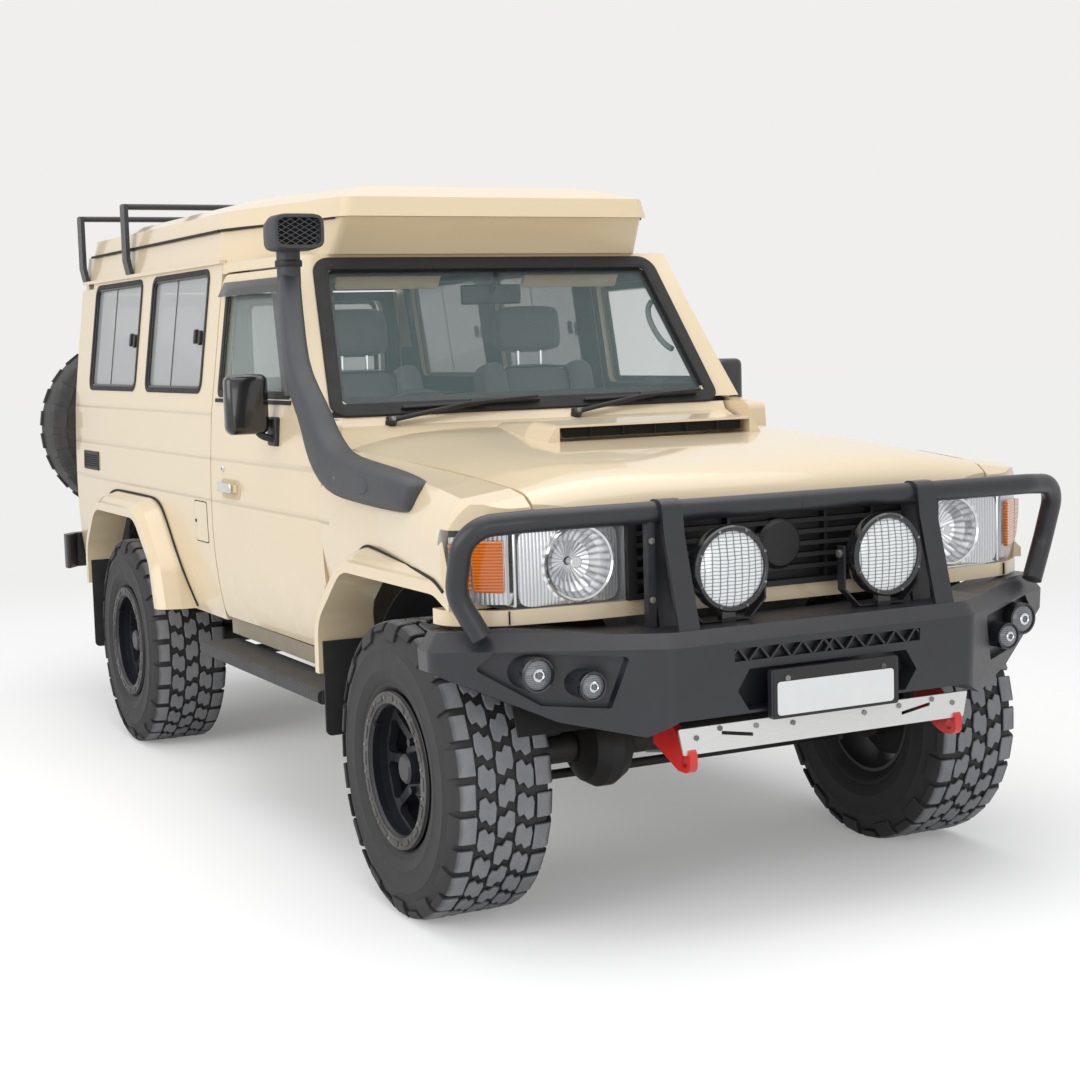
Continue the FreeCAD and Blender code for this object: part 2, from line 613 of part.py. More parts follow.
def valance():
    """Painted strip under the grille and headlights, from one fender flare round to the other."""
    form = prism(nose_plan(0, VALANCE_REAR_Y), "z", VALANCE_LOW_Z, LAMP_LOW_Z - SEAT_GAP, NOSE_CORNERS)
    hollow = prism(nose_plan(PANEL, VALANCE_REAR_Y + 100), "z", 0, BEYOND, NOSE_CORNERS)
    hollow = hollow.common(box(0, FENDER_FRONT_HALF - PANEL, -BEYOND, BEYOND, 0, BEYOND))
    strip = form.common(box(0, BEYOND, -BEYOND, VALANCE_REAR_Y, 0, BEYOND)).cut(hollow)
    return fuse([strip, mirrored(strip)])


@cache
def fender(side):
    """Fender with its flare; its front wraps round the headlight."""
    rear = DOOR_FRONT_Y - DOOR_GAP / 2
    hole = [0, 120, 160, 160, 120, 0]

    def section(y, half, top_x, top_z, inset, bottom):
        """Outer skin for no inset; the inner form is inset from it and runs on past the inside."""
        out = half - inset
        line = [(out - 20, bottom), (out, 1000.0), (out - 8, top_z - 100), (out - 58, top_z - 20 - inset)]
        spline = Part.BSplineCurve()
        spline.interpolate([Vector(x, y, z) for x, z in line])
        corners = [(out - 58, top_z - 20 - inset), (top_x, top_z - inset)]
        if inset:
            corners.append((top_x - 120, top_z - inset))
        corners += [(corners[-1][0], bottom), (out - 20, bottom)]
        rest = Part.makePolygon([Vector(x, y, z) for x, z in corners])
        return Part.Wire([spline.toShape()] + rest.Edges)
    rows = []
    for back, edge, _ in BONNET_LINES:
        y = min(BONNET_FRONT_Y + back, rear)
        rows.append((y, fender_half(y), bonnet_half(y) + BONNET_GAP, edge))
    rows[-1] = (rear, fender_half(rear), bonnet_half(rear) + BONNET_GAP, rows[-1][3])
    first = (NOSE_Y - 20, rows[0][1], rows[0][2], rows[0][3] - 12)
    last = (rear + 60, rows[-1][1], rows[-1][2], rows[-1][3] + 2)
    solid = loft([section(*row, 0, SILL_Z) for row in [first] + rows])
    inner = loft([section(*row, FENDER_WALL, SILL_Z - 60) for row in [first] + rows + [last]])
    shell = solid.cut(inner)
    plan = prism(nose_plan(0, rear), "z", 0, BEYOND, NOSE_CORNERS)
    shell = shell.common(plan).cut(prism(front_arch(0), "x", 0, BEYOND, hole))
    for barrel in hinge_barrels(DOOR_HINGE_X, DOOR_FRONT_Y, DOOR_HINGE_Z, HINGE_RADIUS + SEAT_GAP, 62):
        shell = shell.cut(barrel)
    band = flare(front_arch, FRONT_AXLE_Y).common(box(0, BEYOND, FRONT_AXLE_Y - 440, rear, 0, BEYOND))
    whole = fuse([shell, band]).cut(headlight_form(SEAT_GAP))
    whole = whole.cut(box(0, BEYOND, -BEYOND, VALANCE_REAR_Y + SEAT_GAP, 0, LAMP_LOW_Z - SEAT_GAP))
    whole = max(whole.Solids, key=lambda one: one.Volume)
    return on_side(whole, side)


def bonnet_section(y, half, edge, middle, thickness):
    """Closed section of the bonnet with its raised middle and the crease at each side of it."""
    rise = middle - edge
    points = [(half, 0.0), (half - 60, 0.28), (BONNET_CREASE_X, 0.84), (BONNET_CREASE_X - 110, 0.97), (0.0, 1.0)]
    line = [(-x, edge + rise * share) for x, share in points] + [
        (x, edge + rise * share) for x, share in reversed(points[:-1])]
    top = Part.BSplineCurve()
    top.interpolate([Vector(x, y, z) for x, z in line])
    low = Part.BSplineCurve()
    low.interpolate([Vector(x, y, z - thickness) for x, z in reversed(line)])
    sides = [Part.makeLine(Vector(half, y, edge), Vector(half, y, edge - thickness)),
             Part.makeLine(Vector(-half, y, edge - thickness), Vector(-half, y, edge))]
    return Part.Wire([top.toShape(), sides[0], low.toShape(), sides[1]])


def bonnet_slab(thickness):
    """The bonnet's form under its skin, as thick as asked."""
    rows = [(BONNET_FRONT_Y + back, edge, middle) for back, edge, middle in BONNET_LINES]
    rows[-1] = (BONNET_REAR_Y,) + rows[-1][1:]
    return loft([bonnet_section(y, bonnet_half(y), edge, middle, thickness) for y, edge, middle in rows], False)


def bonnet():
    skin = bonnet_slab(BONNET_THICKNESS)
    plan = prism(nose_plan(8, BONNET_REAR_Y + 10), "z", 0, BEYOND, NOSE_CORNERS)
    skin = skin.common(plan.fuse(mirrored(plan)))
    mouth = FRONT_AXLE_Y + SCOOP_BACK
    rings = []
    for back, top, wide in ((0, SCOOP_TOP_Z, 0), (180, SCOOP_TOP_Z + 8, -6), (SCOOP_LENGTH, SCOOP_TOP_Z - 6, -70)):
        half = SCOOP_HALF + wide
        rings.append(outline([(-half - 75, mouth + back, 1300), (half + 75, mouth + back, 1300),
                              (half + 12, mouth + back, top), (-half - 12, mouth + back, top)], [0, 0, 40, 40]))
    hood = loft(rings)
    below = bonnet_slab(300.0)
    below.translate(Vector(0, 0, -BONNET_THICKNESS / 2))
    high = SCOOP_TOP_Z - 8
    duct = prism([(mouth - 20, high - SCOOP_MOUTH), (mouth - 20, high), (mouth + 60, high + 2), (mouth + 170, high - 14),
                  (mouth + 170, high - SCOOP_MOUTH)], "x", -SCOOP_HALF, SCOOP_HALF)
    whole = fuse([skin, hood.cut(below)]).cut(duct)
    return max(whole.Solids, key=lambda one: one.Volume)


def grille():
    """Black grille with its backing panel, bars, a plain oval boss and the bonnet's stops."""
    front = NOSE_Y
    half = LAMP_INNER_X - 5
    window = box(-half + 28, half - 28, front - 50, front + 100, GRILLE_Z + 16, GRILLE_TOP_Z - 14)
    frame = box(-half, half, front, front + 40, GRILLE_Z, GRILLE_TOP_Z).cut(window)
    panel = box(-half, half, front + 40, front + 48, GRILLE_Z, GRILLE_TOP_Z + 4)
    bars = []
    pitch = (GRILLE_TOP_Z - GRILLE_Z - 30) / GRILLE_BARS
    for i in range(1, GRILLE_BARS):
        z = GRILLE_Z + 16 + i * pitch
        bars.append(prism([(front + 8, z - GRILLE_BAR), (front + 12, z + GRILLE_BAR), (front + 41, z + GRILLE_BAR),
                           (front + 41, z - GRILLE_BAR)], "x", -half + 20, half - 20))
    for x in (-330, -165, 165, 330):
        bars.append(box(x - 5, x + 5, front + 14, front + 41, GRILLE_Z + 10, GRILLE_TOP_Z - 5))
    boss = turned([(0, 0), (0, 62), (10, 72), (42, 72), (42, 0)],
                  (0, front - 2, (GRILLE_Z + GRILLE_TOP_Z) / 2 + 6), (0, 1, 0))
    stops = [cylinder(14, (s * 440, front + 56, GRILLE_TOP_Z - 20), (s * 440, front + 56, STOP_TOP_Z))
             for s in (1, -1)]
    return fuse([frame, panel] + bars + [boss] + stops)


def headlight_form(grow):
    """The left headlight's block, grown on its edges; its face follows the nose."""
    front = NOSE_Y
    face = [(LAMP_INNER_X - grow, LAMP_LOW_Z - grow), (862, LAMP_LOW_Z - grow), (938 + grow, LAMP_LOW_Z + 44),
            (976 + grow, LAMP_LOW_Z + 112), (LAMP_OUTER_X + grow, LAMP_HIGH_Z - 8), (LAMP_OUTER_X + grow, LAMP_HIGH_Z + grow),
            (LAMP_INNER_X - grow, LAMP_HIGH_Z + grow)]
    block = prism(face, "y", front - 50, front + LAMP_DEPTH + grow, [6, 60, 60, 40, 4, 4, 6])
    return block.common(prism(nose_plan(-40 if grow else 2, 0), "z", 0, BEYOND, NOSE_CORNERS))


def headlights():
    block = headlight_form(0)
    return Part.makeCompound([block, mirrored(block)])


def rear_door(side):
    """The right door, side -1, carries the spare wheel's bracket."""
    if side < 0:
        low_x, high_x = -REAR_DOOR_HALF + DOOR_GAP, REAR_SPLIT_X - DOOR_GAP / 2
    else:
        low_x, high_x = REAR_SPLIT_X + DOOR_GAP / 2, REAR_DOOR_HALF - DOOR_GAP
    front = BODY_REAR_Y - REAR_DOOR_THICKNESS
    low_z, high_z = REAR_DOOR_LOW_Z + DOOR_GAP, DOOR_TOP_Z - DOOR_GAP
    slab = prism([(low_x, low_z), (high_x, low_z), (high_x, high_z), (low_x, high_z)], "y", front, BODY_REAR_Y, 24)
    slab = slab.common(envelope(front - 10, BODY_REAR_Y + 10, DOOR_GAP, DOOR_GAP + 10))
    edge = 85.0
    opening = [(low_x + edge, WINDOW_LOW_Z), (high_x - edge, WINDOW_LOW_Z), (high_x - edge, WINDOW_HIGH_Z - 70),
               (low_x + edge, WINDOW_HIGH_Z - 70)]
    if side < 0:
        opening[0] = (low_x + edge + 20, WINDOW_LOW_Z)
    cut = prism(opening, "y", front - 10, BODY_REAR_Y + 10, WINDOW_CORNER)
    glass = prism(opening, "y", BODY_REAR_Y - 20, BODY_REAR_Y - 20 + GLASS, WINDOW_CORNER)
    door = slab.cut(cut)
    hinge_x = side * REAR_DOOR_HALF
    for barrel in hinge_barrels(hinge_x, BODY_REAR_Y + 6, REAR_HINGE_Z, HINGE_RADIUS + 2, 70):
        z = barrel.CenterOfMass.z
        x0, x1 = sorted((hinge_x, hinge_x - side * 60))
        door = fuse([door, barrel, box(x0, x1, BODY_REAR_Y - 2, BODY_REAR_Y + 8, z - 28, z + 28)])
    if side < 0:
        boss = turned([(-REAR_DOOR_THICKNESS / 2, 0), (-REAR_DOOR_THICKNESS / 2, 120), (0, 120), (40, 92),
                       (SPARE_GAP + TYRE_WIDTH / 2 + RIM_DISC_X - RIM_DISC_THICKNESS - RIM_HUB_DEPTH - SEAT_GAP, 78),
                       (SPARE_GAP + TYRE_WIDTH / 2 + RIM_DISC_X - RIM_DISC_THICKNESS - RIM_HUB_DEPTH - SEAT_GAP, 0)],
                      (SPARE_X, BODY_REAR_Y, SPARE_Z), (0, 1, 0))
        door = fuse([door, boss])
    return door, glass


def tyre_solid():
    """Tyre with a row of shoulder blocks at each side and two rows of blocks on its crown."""
    half = TYRE_WIDTH / 2
    seat = RIM_SEAT_WIDTH / 2
    tread = TREAD_WIDTH / 2
    base = TYRE_RADIUS - LUG_DEPTH
    profile = [(seat, RIM_SEAT_RADIUS), (seat + 22, RIM_SEAT_RADIUS + 22), (half - 6, RIM_SEAT_RADIUS + 70),
               (half, RIM_SEAT_RADIUS + 105), (half - 5, base - 48), (tread + 6, base - 12), (tread - 14, base)]
    points = [(-x, r) for x, r in profile] + [(x, r) for x, r in reversed(profile)]
    body = turned(points, (0, 0, 0))
    crown = TYRE_RADIUS - 2.0
    side = [(tread - LUG_LENGTH, base - 20), (half - 10, base - 60), (half - 1, base - 56), (tread + 8, crown - 14),
            (tread, crown - 4), (tread - LUG_LENGTH, TYRE_RADIUS)]
    block = prism([(x, z) for x, z in side], "y", -LUG_WIDTH / 2, LUG_WIDTH / 2)
    blocks = []
    for i in range(LUG_COUNT):
        angle = 360.0 / LUG_COUNT * (i + 0.5)
        for one in (block, mirrored(block)):
            piece = one.copy()
            piece.rotate(Vector(0, 0, 0), Vector(1, 0, 0), angle)
            blocks.append(piece)
    return body.multiFuse(blocks)


def rim_solid():
    """Rim drawn with its outer face towards +X."""
    seat = RIM_SEAT_WIDTH / 2
    bore = RIM_SEAT_RADIUS - RIM_WALL
    ring_x = seat + RIM_RING_DEPTH
    barrel = turned([(-seat, bore), (-seat, RIM_SEAT_RADIUS), (seat, RIM_SEAT_RADIUS), (seat + 20, RIM_SEAT_RADIUS + 10),
                     (ring_x - 6, RIM_RADIUS), (ring_x, RIM_RADIUS - 6), (ring_x, RIM_RADIUS - RIM_RING_WIDTH),
                     (ring_x - 8, RIM_RADIUS - RIM_RING_WIDTH - 5), (seat, bore - 8)], (0, 0, 0))
    back = RIM_DISC_X - RIM_DISC_THICKNESS
    hub_back = back - RIM_HUB_DEPTH
    disc = turned([(hub_back, 0), (hub_back, RIM_HUB_RADIUS), (back - 14, RIM_HUB_RADIUS + 6), (back + 2, bore + 2),
                   (RIM_DISC_X + 16, bore + 2), (RIM_DISC_X + 4, bore - 26), (RIM_DISC_X - 12, RIM_HUB_RADIUS + 16),
                   (RIM_DISC_X, RIM_HUB_RADIUS), (RIM_DISC_X, RIM_CAP_RADIUS + 4),
                   (RIM_DISC_X + RIM_CAP_LENGTH - 6, RIM_CAP_RADIUS), (RIM_DISC_X + RIM_CAP_LENGTH, RIM_CAP_RADIUS - 8),
                   (RIM_DISC_X + RIM_CAP_LENGTH, 0)], (0, 0, 0))
    low, high = RIM_HUB_RADIUS + 18, bore - 16
    half_step = math.pi / RIM_WINDOWS
    inner_half = math.tan(half_step) * low * 0.6
    outer_half = math.tan(half_step) * high * 0.76
    window = prism([(-inner_half, low), (inner_half, low), (outer_half, high - 12), (outer_half - 16, high),
                    (16 - outer_half, high), (-outer_half, high - 12)], "x", 0, BEYOND, [14, 14, 12, 8, 8, 12])
    pieces = []
    for i in range(RIM_WINDOWS):
        piece = window.copy()
        piece.rotate(Vector(0, 0, 0), Vector(1, 0, 0), 360.0 / RIM_WINDOWS * (i + 0.5))
        pieces.append(piece)
    disc = disc.cut(pieces)
    studs = []
    for i in range(STUD_COUNT):
        angle = 2 * math.pi * i / STUD_COUNT
        y, z = STUD_CIRCLE / 2 * math.cos(angle), STUD_CIRCLE / 2 * math.sin(angle)
        studs.append(cylinder(STUD_RADIUS, (RIM_DISC_X - 5, y, z), (RIM_DISC_X + 16, y, z)))
    return fuse([barrel, disc] + studs)


def placed(shape, side, x, y, z):
    piece = on_side(shape.copy(), side)
    piece.translate(Vector(side * x, y, z))
    return piece


def knuckle(side):
    x = KINGPIN_X
    y, z = FRONT_AXLE_Y, AXLE_Z
    inner = KNUCKLE_BALL_RADIUS + KNUCKLE_GAP
    shell = Part.makeSphere(inner + KNUCKLE_SHELL, Vector(x, y, z))
    shell = shell.cut(Part.makeSphere(inner, Vector(x, y, z)))
    shell = shell.cut(box(x - 200, x - 2, y - 200, y + 200, z - 200, z + 200))
    disc_x = TRACK_FRONT / 2 + RIM_DISC_X - RIM_DISC_THICKNESS - RIM_HUB_DEPTH
    spindle = cylinder(SPINDLE_RADIUS, (x + inner + 4, y, z), (disc_x - SEAT_GAP, y, z))
    shield_x = x + inner + KNUCKLE_SHELL - 6
    shield = cylinder(SHIELD_RADIUS, (shield_x, y, z), (shield_x + SHIELD_THICKNESS, y, z))
    top = z - STEER_ARM_DROP + STEER_ARM_THICKNESS
    arm = prism([(x - 4, y - 30), (x + 60, y - 30), (x + 60, y + 60), (x + 24, y + STEER_ARM_BACK + 24),
                 (x - 24, y + STEER_ARM_BACK + 24), (x - 24, y + STEER_ARM_BACK - 24), (x - 4, y + 40)],
                "z", top - STEER_ARM_THICKNESS, top, [8, 8, 30, 20, 20, 20, 30])
    arm = arm.cut(Part.makeSphere(inner, Vector(x, y, z)))
    return on_side(fuse([shell, spindle, shield, arm]), side)


def tie_rod():
    y = FRONT_AXLE_Y + STEER_ARM_BACK
    top = AXLE_Z - STEER_ARM_DROP - SEAT_GAP
    end_x = KINGPIN_X
    ends = [cylinder(TIE_ROD_END_RADIUS, (s * end_x, y, top - TIE_ROD_END_HEIGHT), (s * end_x, y, top))
            for s in (1, -1)]
    middle = top - TIE_ROD_END_HEIGHT / 2
    return fuse(ends + [cylinder(TIE_ROD_RADIUS, (-end_x, y, middle), (end_x, y, middle))])


def axle_housing(y, diff_x, half, pinion_way):
    z = AXLE_Z
    bodies = [cylinder(AXLE_TUBE_RADIUS, (-half, y, z), (half, y, z)),
              turned([(-95, 0), (-95, 60), (-60, 110), (-20, DIFF_RADIUS), (20, DIFF_RADIUS), (60, 110), (95, 60),
                      (95, 0)], (diff_x, y, z)),
              cylinder(PINION_RADIUS, (diff_x, y, z), (diff_x, y + pinion_way * (DIFF_RADIUS + PINION_LENGTH), z))]
    return fuse(bodies)


@cache
def front_axle():
    x = KINGPIN_X
    balls = []
    for s in (1, -1):
        ball = Part.makeSphere(KNUCKLE_BALL_RADIUS, Vector(s * x, FRONT_AXLE_Y, AXLE_Z))
        balls.append(ball)
    return fuse([axle_housing(FRONT_AXLE_Y, FRONT_DIFF_X, x, 1)] + balls)


@cache
def rear_axle():
    half = TRACK_REAR / 2 + RIM_DISC_X - RIM_DISC_THICKNESS - RIM_HUB_DEPTH - SEAT_GAP
    drum_in = TRACK_REAR / 2 - RIM_SEAT_WIDTH / 2 + 20
    drums = [cylinder(150, (s * drum_in, REAR_AXLE_Y, AXLE_Z), (s * (drum_in + 70), REAR_AXLE_Y, AXLE_Z))
             for s in (1, -1)]
    return fuse([axle_housing(REAR_AXLE_Y, REAR_DIFF_X, half, -1)] + drums)


def springs():
    pieces = []
    foot = AXLE_Z + AXLE_TUBE_RADIUS + 4
    head = RAIL_KICK_Z + 40
    turns = []
    pitch = (head - foot) / COIL_TURNS
    for i in range(COIL_TURNS):
        turns += [(foot + i * pitch, COIL_RADIUS - COIL_WIRE), (foot + (i + 0.5) * pitch, COIL_RADIUS)]
    turns.append((head, COIL_RADIUS - COIL_WIRE))
    coil = turned([(foot, 0)] + turns + [(head, 0)], (0, 0, 0), (0, 0, 1))
    for s in (1, -1):
        one = coil.copy()
        one.translate(Vector(s * COIL_X, FRONT_AXLE_Y, 0))
        pieces.append(one)
        x0, x1 = sorted((s * RAIL_OUTER_X, s * (COIL_X + COIL_RADIUS)))
        perch = box(x0, x1, FRONT_AXLE_Y - 60, FRONT_AXLE_Y + 60, head - 4, head + 26)
        pieces.append(perch)
        arm = cylinder(24, (s * ARM_X, FRONT_AXLE_Y, AXLE_Z - 10), (s * ARM_X, FRONT_AXLE_Y + 900, RAIL_Z - 25))
        pieces.append(arm)
        y = REAR_AXLE_Y
        z = AXLE_Z + AXLE_TUBE_RADIUS
        bow = Part.Arc(Vector(0, y - LEAF_HALF_SPAN, z + LEAF_ARCH), Vector(0, y, z),
                       Vector(0, y + LEAF_HALF_SPAN, z + LEAF_ARCH)).toShape()
        top = Part.Arc(Vector(0, y - LEAF_HALF_SPAN, z + LEAF_ARCH + 16), Vector(0, y, z + LEAF_THICKNESS),
                       Vector(0, y + LEAF_HALF_SPAN, z + LEAF_ARCH + 16)).toShape()
        ends = [Part.makeLine(Vector(0, y + w * LEAF_HALF_SPAN, z + LEAF_ARCH),
                              Vector(0, y + w * LEAF_HALF_SPAN, z + LEAF_ARCH + 16)) for w in (1, -1)]
        leaf = Part.Face(Part.Wire(Part.__sortEdges__([bow, top] + ends))).extrude(Vector(LEAF_WIDTH, 0, 0))
        leaf.translate(Vector(s * LEAF_X - LEAF_WIDTH / 2, 0, 0))
        hangers = [box(min(s * RAIL_OUTER_X, s * (LEAF_X + 35)), max(s * RAIL_OUTER_X, s * (LEAF_X + 35)),
                       y + w * LEAF_HALF_SPAN - 30, y + w * LEAF_HALF_SPAN + 30, z + LEAF_ARCH + 4,
                       z + LEAF_ARCH + 60) for w in (1, -1)]
        pieces += [fuse([leaf] + hangers)]
    whole = Part.makeCompound([fuse([pieces[0], pieces[1]]), pieces[2], pieces[3], fuse([pieces[4], pieces[5]]),
                               pieces[6], pieces[7]])
    return whole.cut(front_axle()).cut(rear_axle())


def chassis_frame():
    front = FRONT_AXLE_Y - RAIL_FRONT_AHEAD
    rear = REAR_AXLE_Y + RAIL_REAR_BEHIND
    low, high, h = RAIL_Z, RAIL_KICK_Z, RAIL_HEIGHT
    line = [(front, high), (FRONT_AXLE_Y + 330, high), (FRONT_AXLE_Y + 620, low), (REAR_AXLE_Y - 760, low),
            (REAR_AXLE_Y - 430, high), (rear, high), (rear, high + h), (REAR_AXLE_Y - 430, high + h),
            (REAR_AXLE_Y - 760, low + h), (FRONT_AXLE_Y + 620, low + h), (FRONT_AXLE_Y + 330, high + h),
            (front, high + h)]
    bends = [0, 120, 120, 120, 120, 0, 0, 120, 120, 120, 120, 0]
    rail = prism(line, "x", RAIL_OUTER_X - RAIL_WIDTH, RAIL_OUTER_X, bends)
    pieces = [rail, mirrored(rail)]
    inner = RAIL_OUTER_X - RAIL_WIDTH / 2
    for y, z, tall in ((front + 70, high + 20, h - 40), (FRONT_AXLE_Y - 370, high + 20, h - 50),
                       (FRONT_AXLE_Y + 900, low + 27, 22), (REAR_AXLE_Y - 900, high - 46, 46),
                       (REAR_AXLE_Y + 260, high + 20, h - 40), (rear - 80, high + 10, h - 40)):
        pieces.append(box(-inner, inner, y - CROSS_WIDTH / 2, y + CROSS_WIDTH / 2, z, z + tall))
    tank_y = REAR_AXLE_Y + 320
    tank = prism([(-TANK_WIDTH / 2, high - 60), (TANK_WIDTH / 2, high - 60), (TANK_WIDTH / 2, high + 100),
                  (-TANK_WIDTH / 2, high + 100)], "y", tank_y, tank_y + TANK_LENGTH, 40)
    pieces.append(tank)
    outriggers = []
    for y in (DOOR_FRONT_Y + 60, DOOR_REAR_Y - 40):
        for s in (1, -1):
            a, b = sorted((s * inner, s * ROCKER_INNER_X))
            outriggers.append(box(a, b, y - 35, y + 35, low + 50, low + h))
    return fuse(pieces + outriggers)


@cache
def floor_pan():
    """Flat floor with firewall, rockers, rear sill and a tub over each rear wheel."""
    half = ROCKER_INNER_X + 20
    wide = HALF_LOWER - WALL_LOWER + 10
    low = RAIL_KICK_Z + RAIL_HEIGHT
    floor_z = SILL_Z + 8
    step_y = REAR_AXLE_Y - 790
    side_y = DOOR_REAR_Y + DOOR_GAP
    front_floor = box(-half, half, FIREWALL_Y, step_y, floor_z, floor_z + PANEL)
    rear_floor = box(-wide, wide, step_y, BODY_REAR_Y - 4, low, low + PANEL)
    step = box(-half, half, step_y - PANEL, step_y, floor_z, low + PANEL)
    wings = box(-wide, wide, side_y, step_y, floor_z, floor_z + PANEL)
    sill = box(-REAR_DOOR_HALF + 4, REAR_DOOR_HALF - 4, BODY_REAR_Y - 24, BODY_REAR_Y - 4, SILL_Z + 20,
               REAR_DOOR_LOW_Z)
    firewall = box(-half, half, FIREWALL_Y, FIREWALL_Y + PANEL, floor_z, BONNET_REAR_Z - 60)
    rockers = [box(*sorted((s * ROCKER_INNER_X, s * (HALF_SILL - FRONT_NARROW_LOW - 6))), DOOR_FRONT_Y, DOOR_REAR_Y,
                   SILL_Z - 50, DOOR_SILL_Z - DOOR_GAP / 2 - 2) for s in (1, -1)]
    tubs = []
    inside = TRACK_REAR / 2 - TYRE_WIDTH / 2 - 40
    for s in (1, -1):
        a, b = sorted((s * (inside - PANEL), s * wide))
        c, d = sorted((s * inside, s * (wide + 100)))
        top = [(REAR_AXLE_Y - 560, low), (REAR_AXLE_Y - 400, ARCH_TOP_Z + 40), (REAR_AXLE_Y + 400, ARCH_TOP_Z + 40),
               (REAR_AXLE_Y + 560, low)]
        tub = prism([(top[0][0] - PANEL, low), (top[1][0] - 10, top[1][1] + PANEL), (top[2][0] + 10, top[2][1] + PANEL),
                     (top[3][0] + PANEL, low)], "x", a, b)
        hole = prism([(top[0][0], low - 200), (top[0][0], low), top[1], top[2], top[3], (top[3][0], low - 200)],
                     "x", c, d)
        tubs.append((tub, hole))
    pan = fuse([front_floor, rear_floor, wings, step, sill, firewall] + rockers + [tub for tub, _ in tubs])
    for _, hole in tubs:
        pan = pan.cut(hole)
    return pan


def engine_block():
    return box(-230, 230, FRONT_AXLE_Y - 290, FIREWALL_Y - 60, 720, 1190)


def drivetrain():
    front, rear = FIREWALL_Y - 60 + SEAT_GAP, FIREWALL_Y + 620
    gearbox = loft([outline([(x, front, z) for x, z in ((-190, 580), (190, 580), (190, 900), (-190, 900))], 60),
                    outline([(x, rear, z) for x, z in ((-120, 560), (120, 560), (120, 640), (-120, 640))], 40)])
    floor_low = SILL_Z + 8
    gearbox = gearbox.common(box(-500, 500, -BEYOND, BEYOND, 0, floor_low - 6).fuse(box(-500, 500, -BEYOND, FIREWALL_Y - 6, 0, BEYOND)))
    case = box(-260, 130, FIREWALL_Y + 560, FIREWALL_Y + 860, 440, 630)
    shafts = [cylinder(36, (FRONT_DIFF_X, FRONT_AXLE_Y + DIFF_RADIUS + PINION_LENGTH + SEAT_GAP, AXLE_Z),
                       (-200, FIREWALL_Y + 562, 520)),
              cylinder(40, (-60, FIREWALL_Y + 858, 540),
                       (REAR_DIFF_X, REAR_AXLE_Y - DIFF_RADIUS - PINION_LENGTH - SEAT_GAP, AXLE_Z))]
    return fuse([gearbox, case] + shafts).cut(front_axle()).cut(rear_axle())


def exhaust():
    x, low, high = 235, 465, 600
    start = FIREWALL_Y + 60
    pipe = tube([(x, start, low), (x, REAR_AXLE_Y - 320, low), (x, REAR_AXLE_Y - 150, high), (x, REAR_AXLE_Y + 120, high),
                 (x + 115, REAR_AXLE_Y + 330, high), (x + 115, BODY_REAR_Y - 50, high - 10)], 30, 120)
    hang_y = REAR_AXLE_Y - 900
    muffler = Part.makeCylinder(80, 480, Vector(x, hang_y - 260, low), Vector(0, 1, 0))
    hanger = box(x - 12, x + 12, hang_y - 10, hang_y + 10, low + 60, RAIL_KICK_Z - 46 - SEAT_GAP)
    return fuse([pipe, muffler, hanger])


def front_seats():
    seats = []
    for s in (1, -1):
        x = s * 370
        y = DOOR_FRONT_Y + 560
        pedestal = box(x - 190, x + 190, y - 200, y + 220, SILL_Z + 8 + PANEL, 900)
        cushion = prism([(y - 260, 900), (y + 240, 880), (y + 240, 1010), (y - 240, 1030)], "x", x - 255, x + 255, 40)
        back = prism([(y + 170, 980), (y + 300, 980), (y + 430, 1590), (y + 330, 1590)], "x", x - 245, x + 245, 45)
        post = prism([(y + 345, 1570), (y + 375, 1570), (y + 390, 1650), (y + 360, 1650)], "x", x - 60, x + 60)
        rest = prism([(y + 320, 1620), (y + 415, 1620), (y + 440, 1800), (y + 350, 1800)], "x", x - 140, x + 140, 36)
        seats.append(fuse([pedestal, cushion, back, post, rest]))
    return Part.makeCompound(seats)


def dashboard():
    half = HALF_BELT - FRONT_NARROW_LOW - WALL_LOWER - 24
    front = FIREWALL_Y + PANEL + SEAT_GAP
    board = [(front, 1010), (front + 250, 1010), (front + 330, 1180), (front + 330, 1330), (front + 280, 1365),
             (front, 1285)]
    shape = prism(board, "x", -half, half, [0, 30, 40, 40, 40, 0])
    hood = prism([(front + 200, 1340), (front + 345, 1330), (front + 345, 1395), (front + 260, 1420)], "x",
                 -370 - 190, -370 + 190, 18)
    console = box(-60, 150, front, front + 240, SILL_Z + 8 + PANEL + 160, 1080)
    return fuse([shape, hood, console]).cut(steering_wheel()).cut(windscreen_frame())


@cache
def steering_wheel():
    ring = Part.makeTorus(185, 15)
    spokes = [box(-178, 178, -20, 20, -8, 8), box(-18, 18, -178, 0, -8, 8)]
    hub = cylinder(60, (0, 0, -30), (0, 0, 14))
    column = cylinder(28, (0, 0, -330), (0, 0, -10))
    whole = fuse([ring, hub, column] + spokes)
    whole.Placement = FreeCAD.Placement(Vector(-370, FIREWALL_Y + 470, 1330), FreeCAD.Rotation(Vector(1, 0, 0), -62))
    return whole


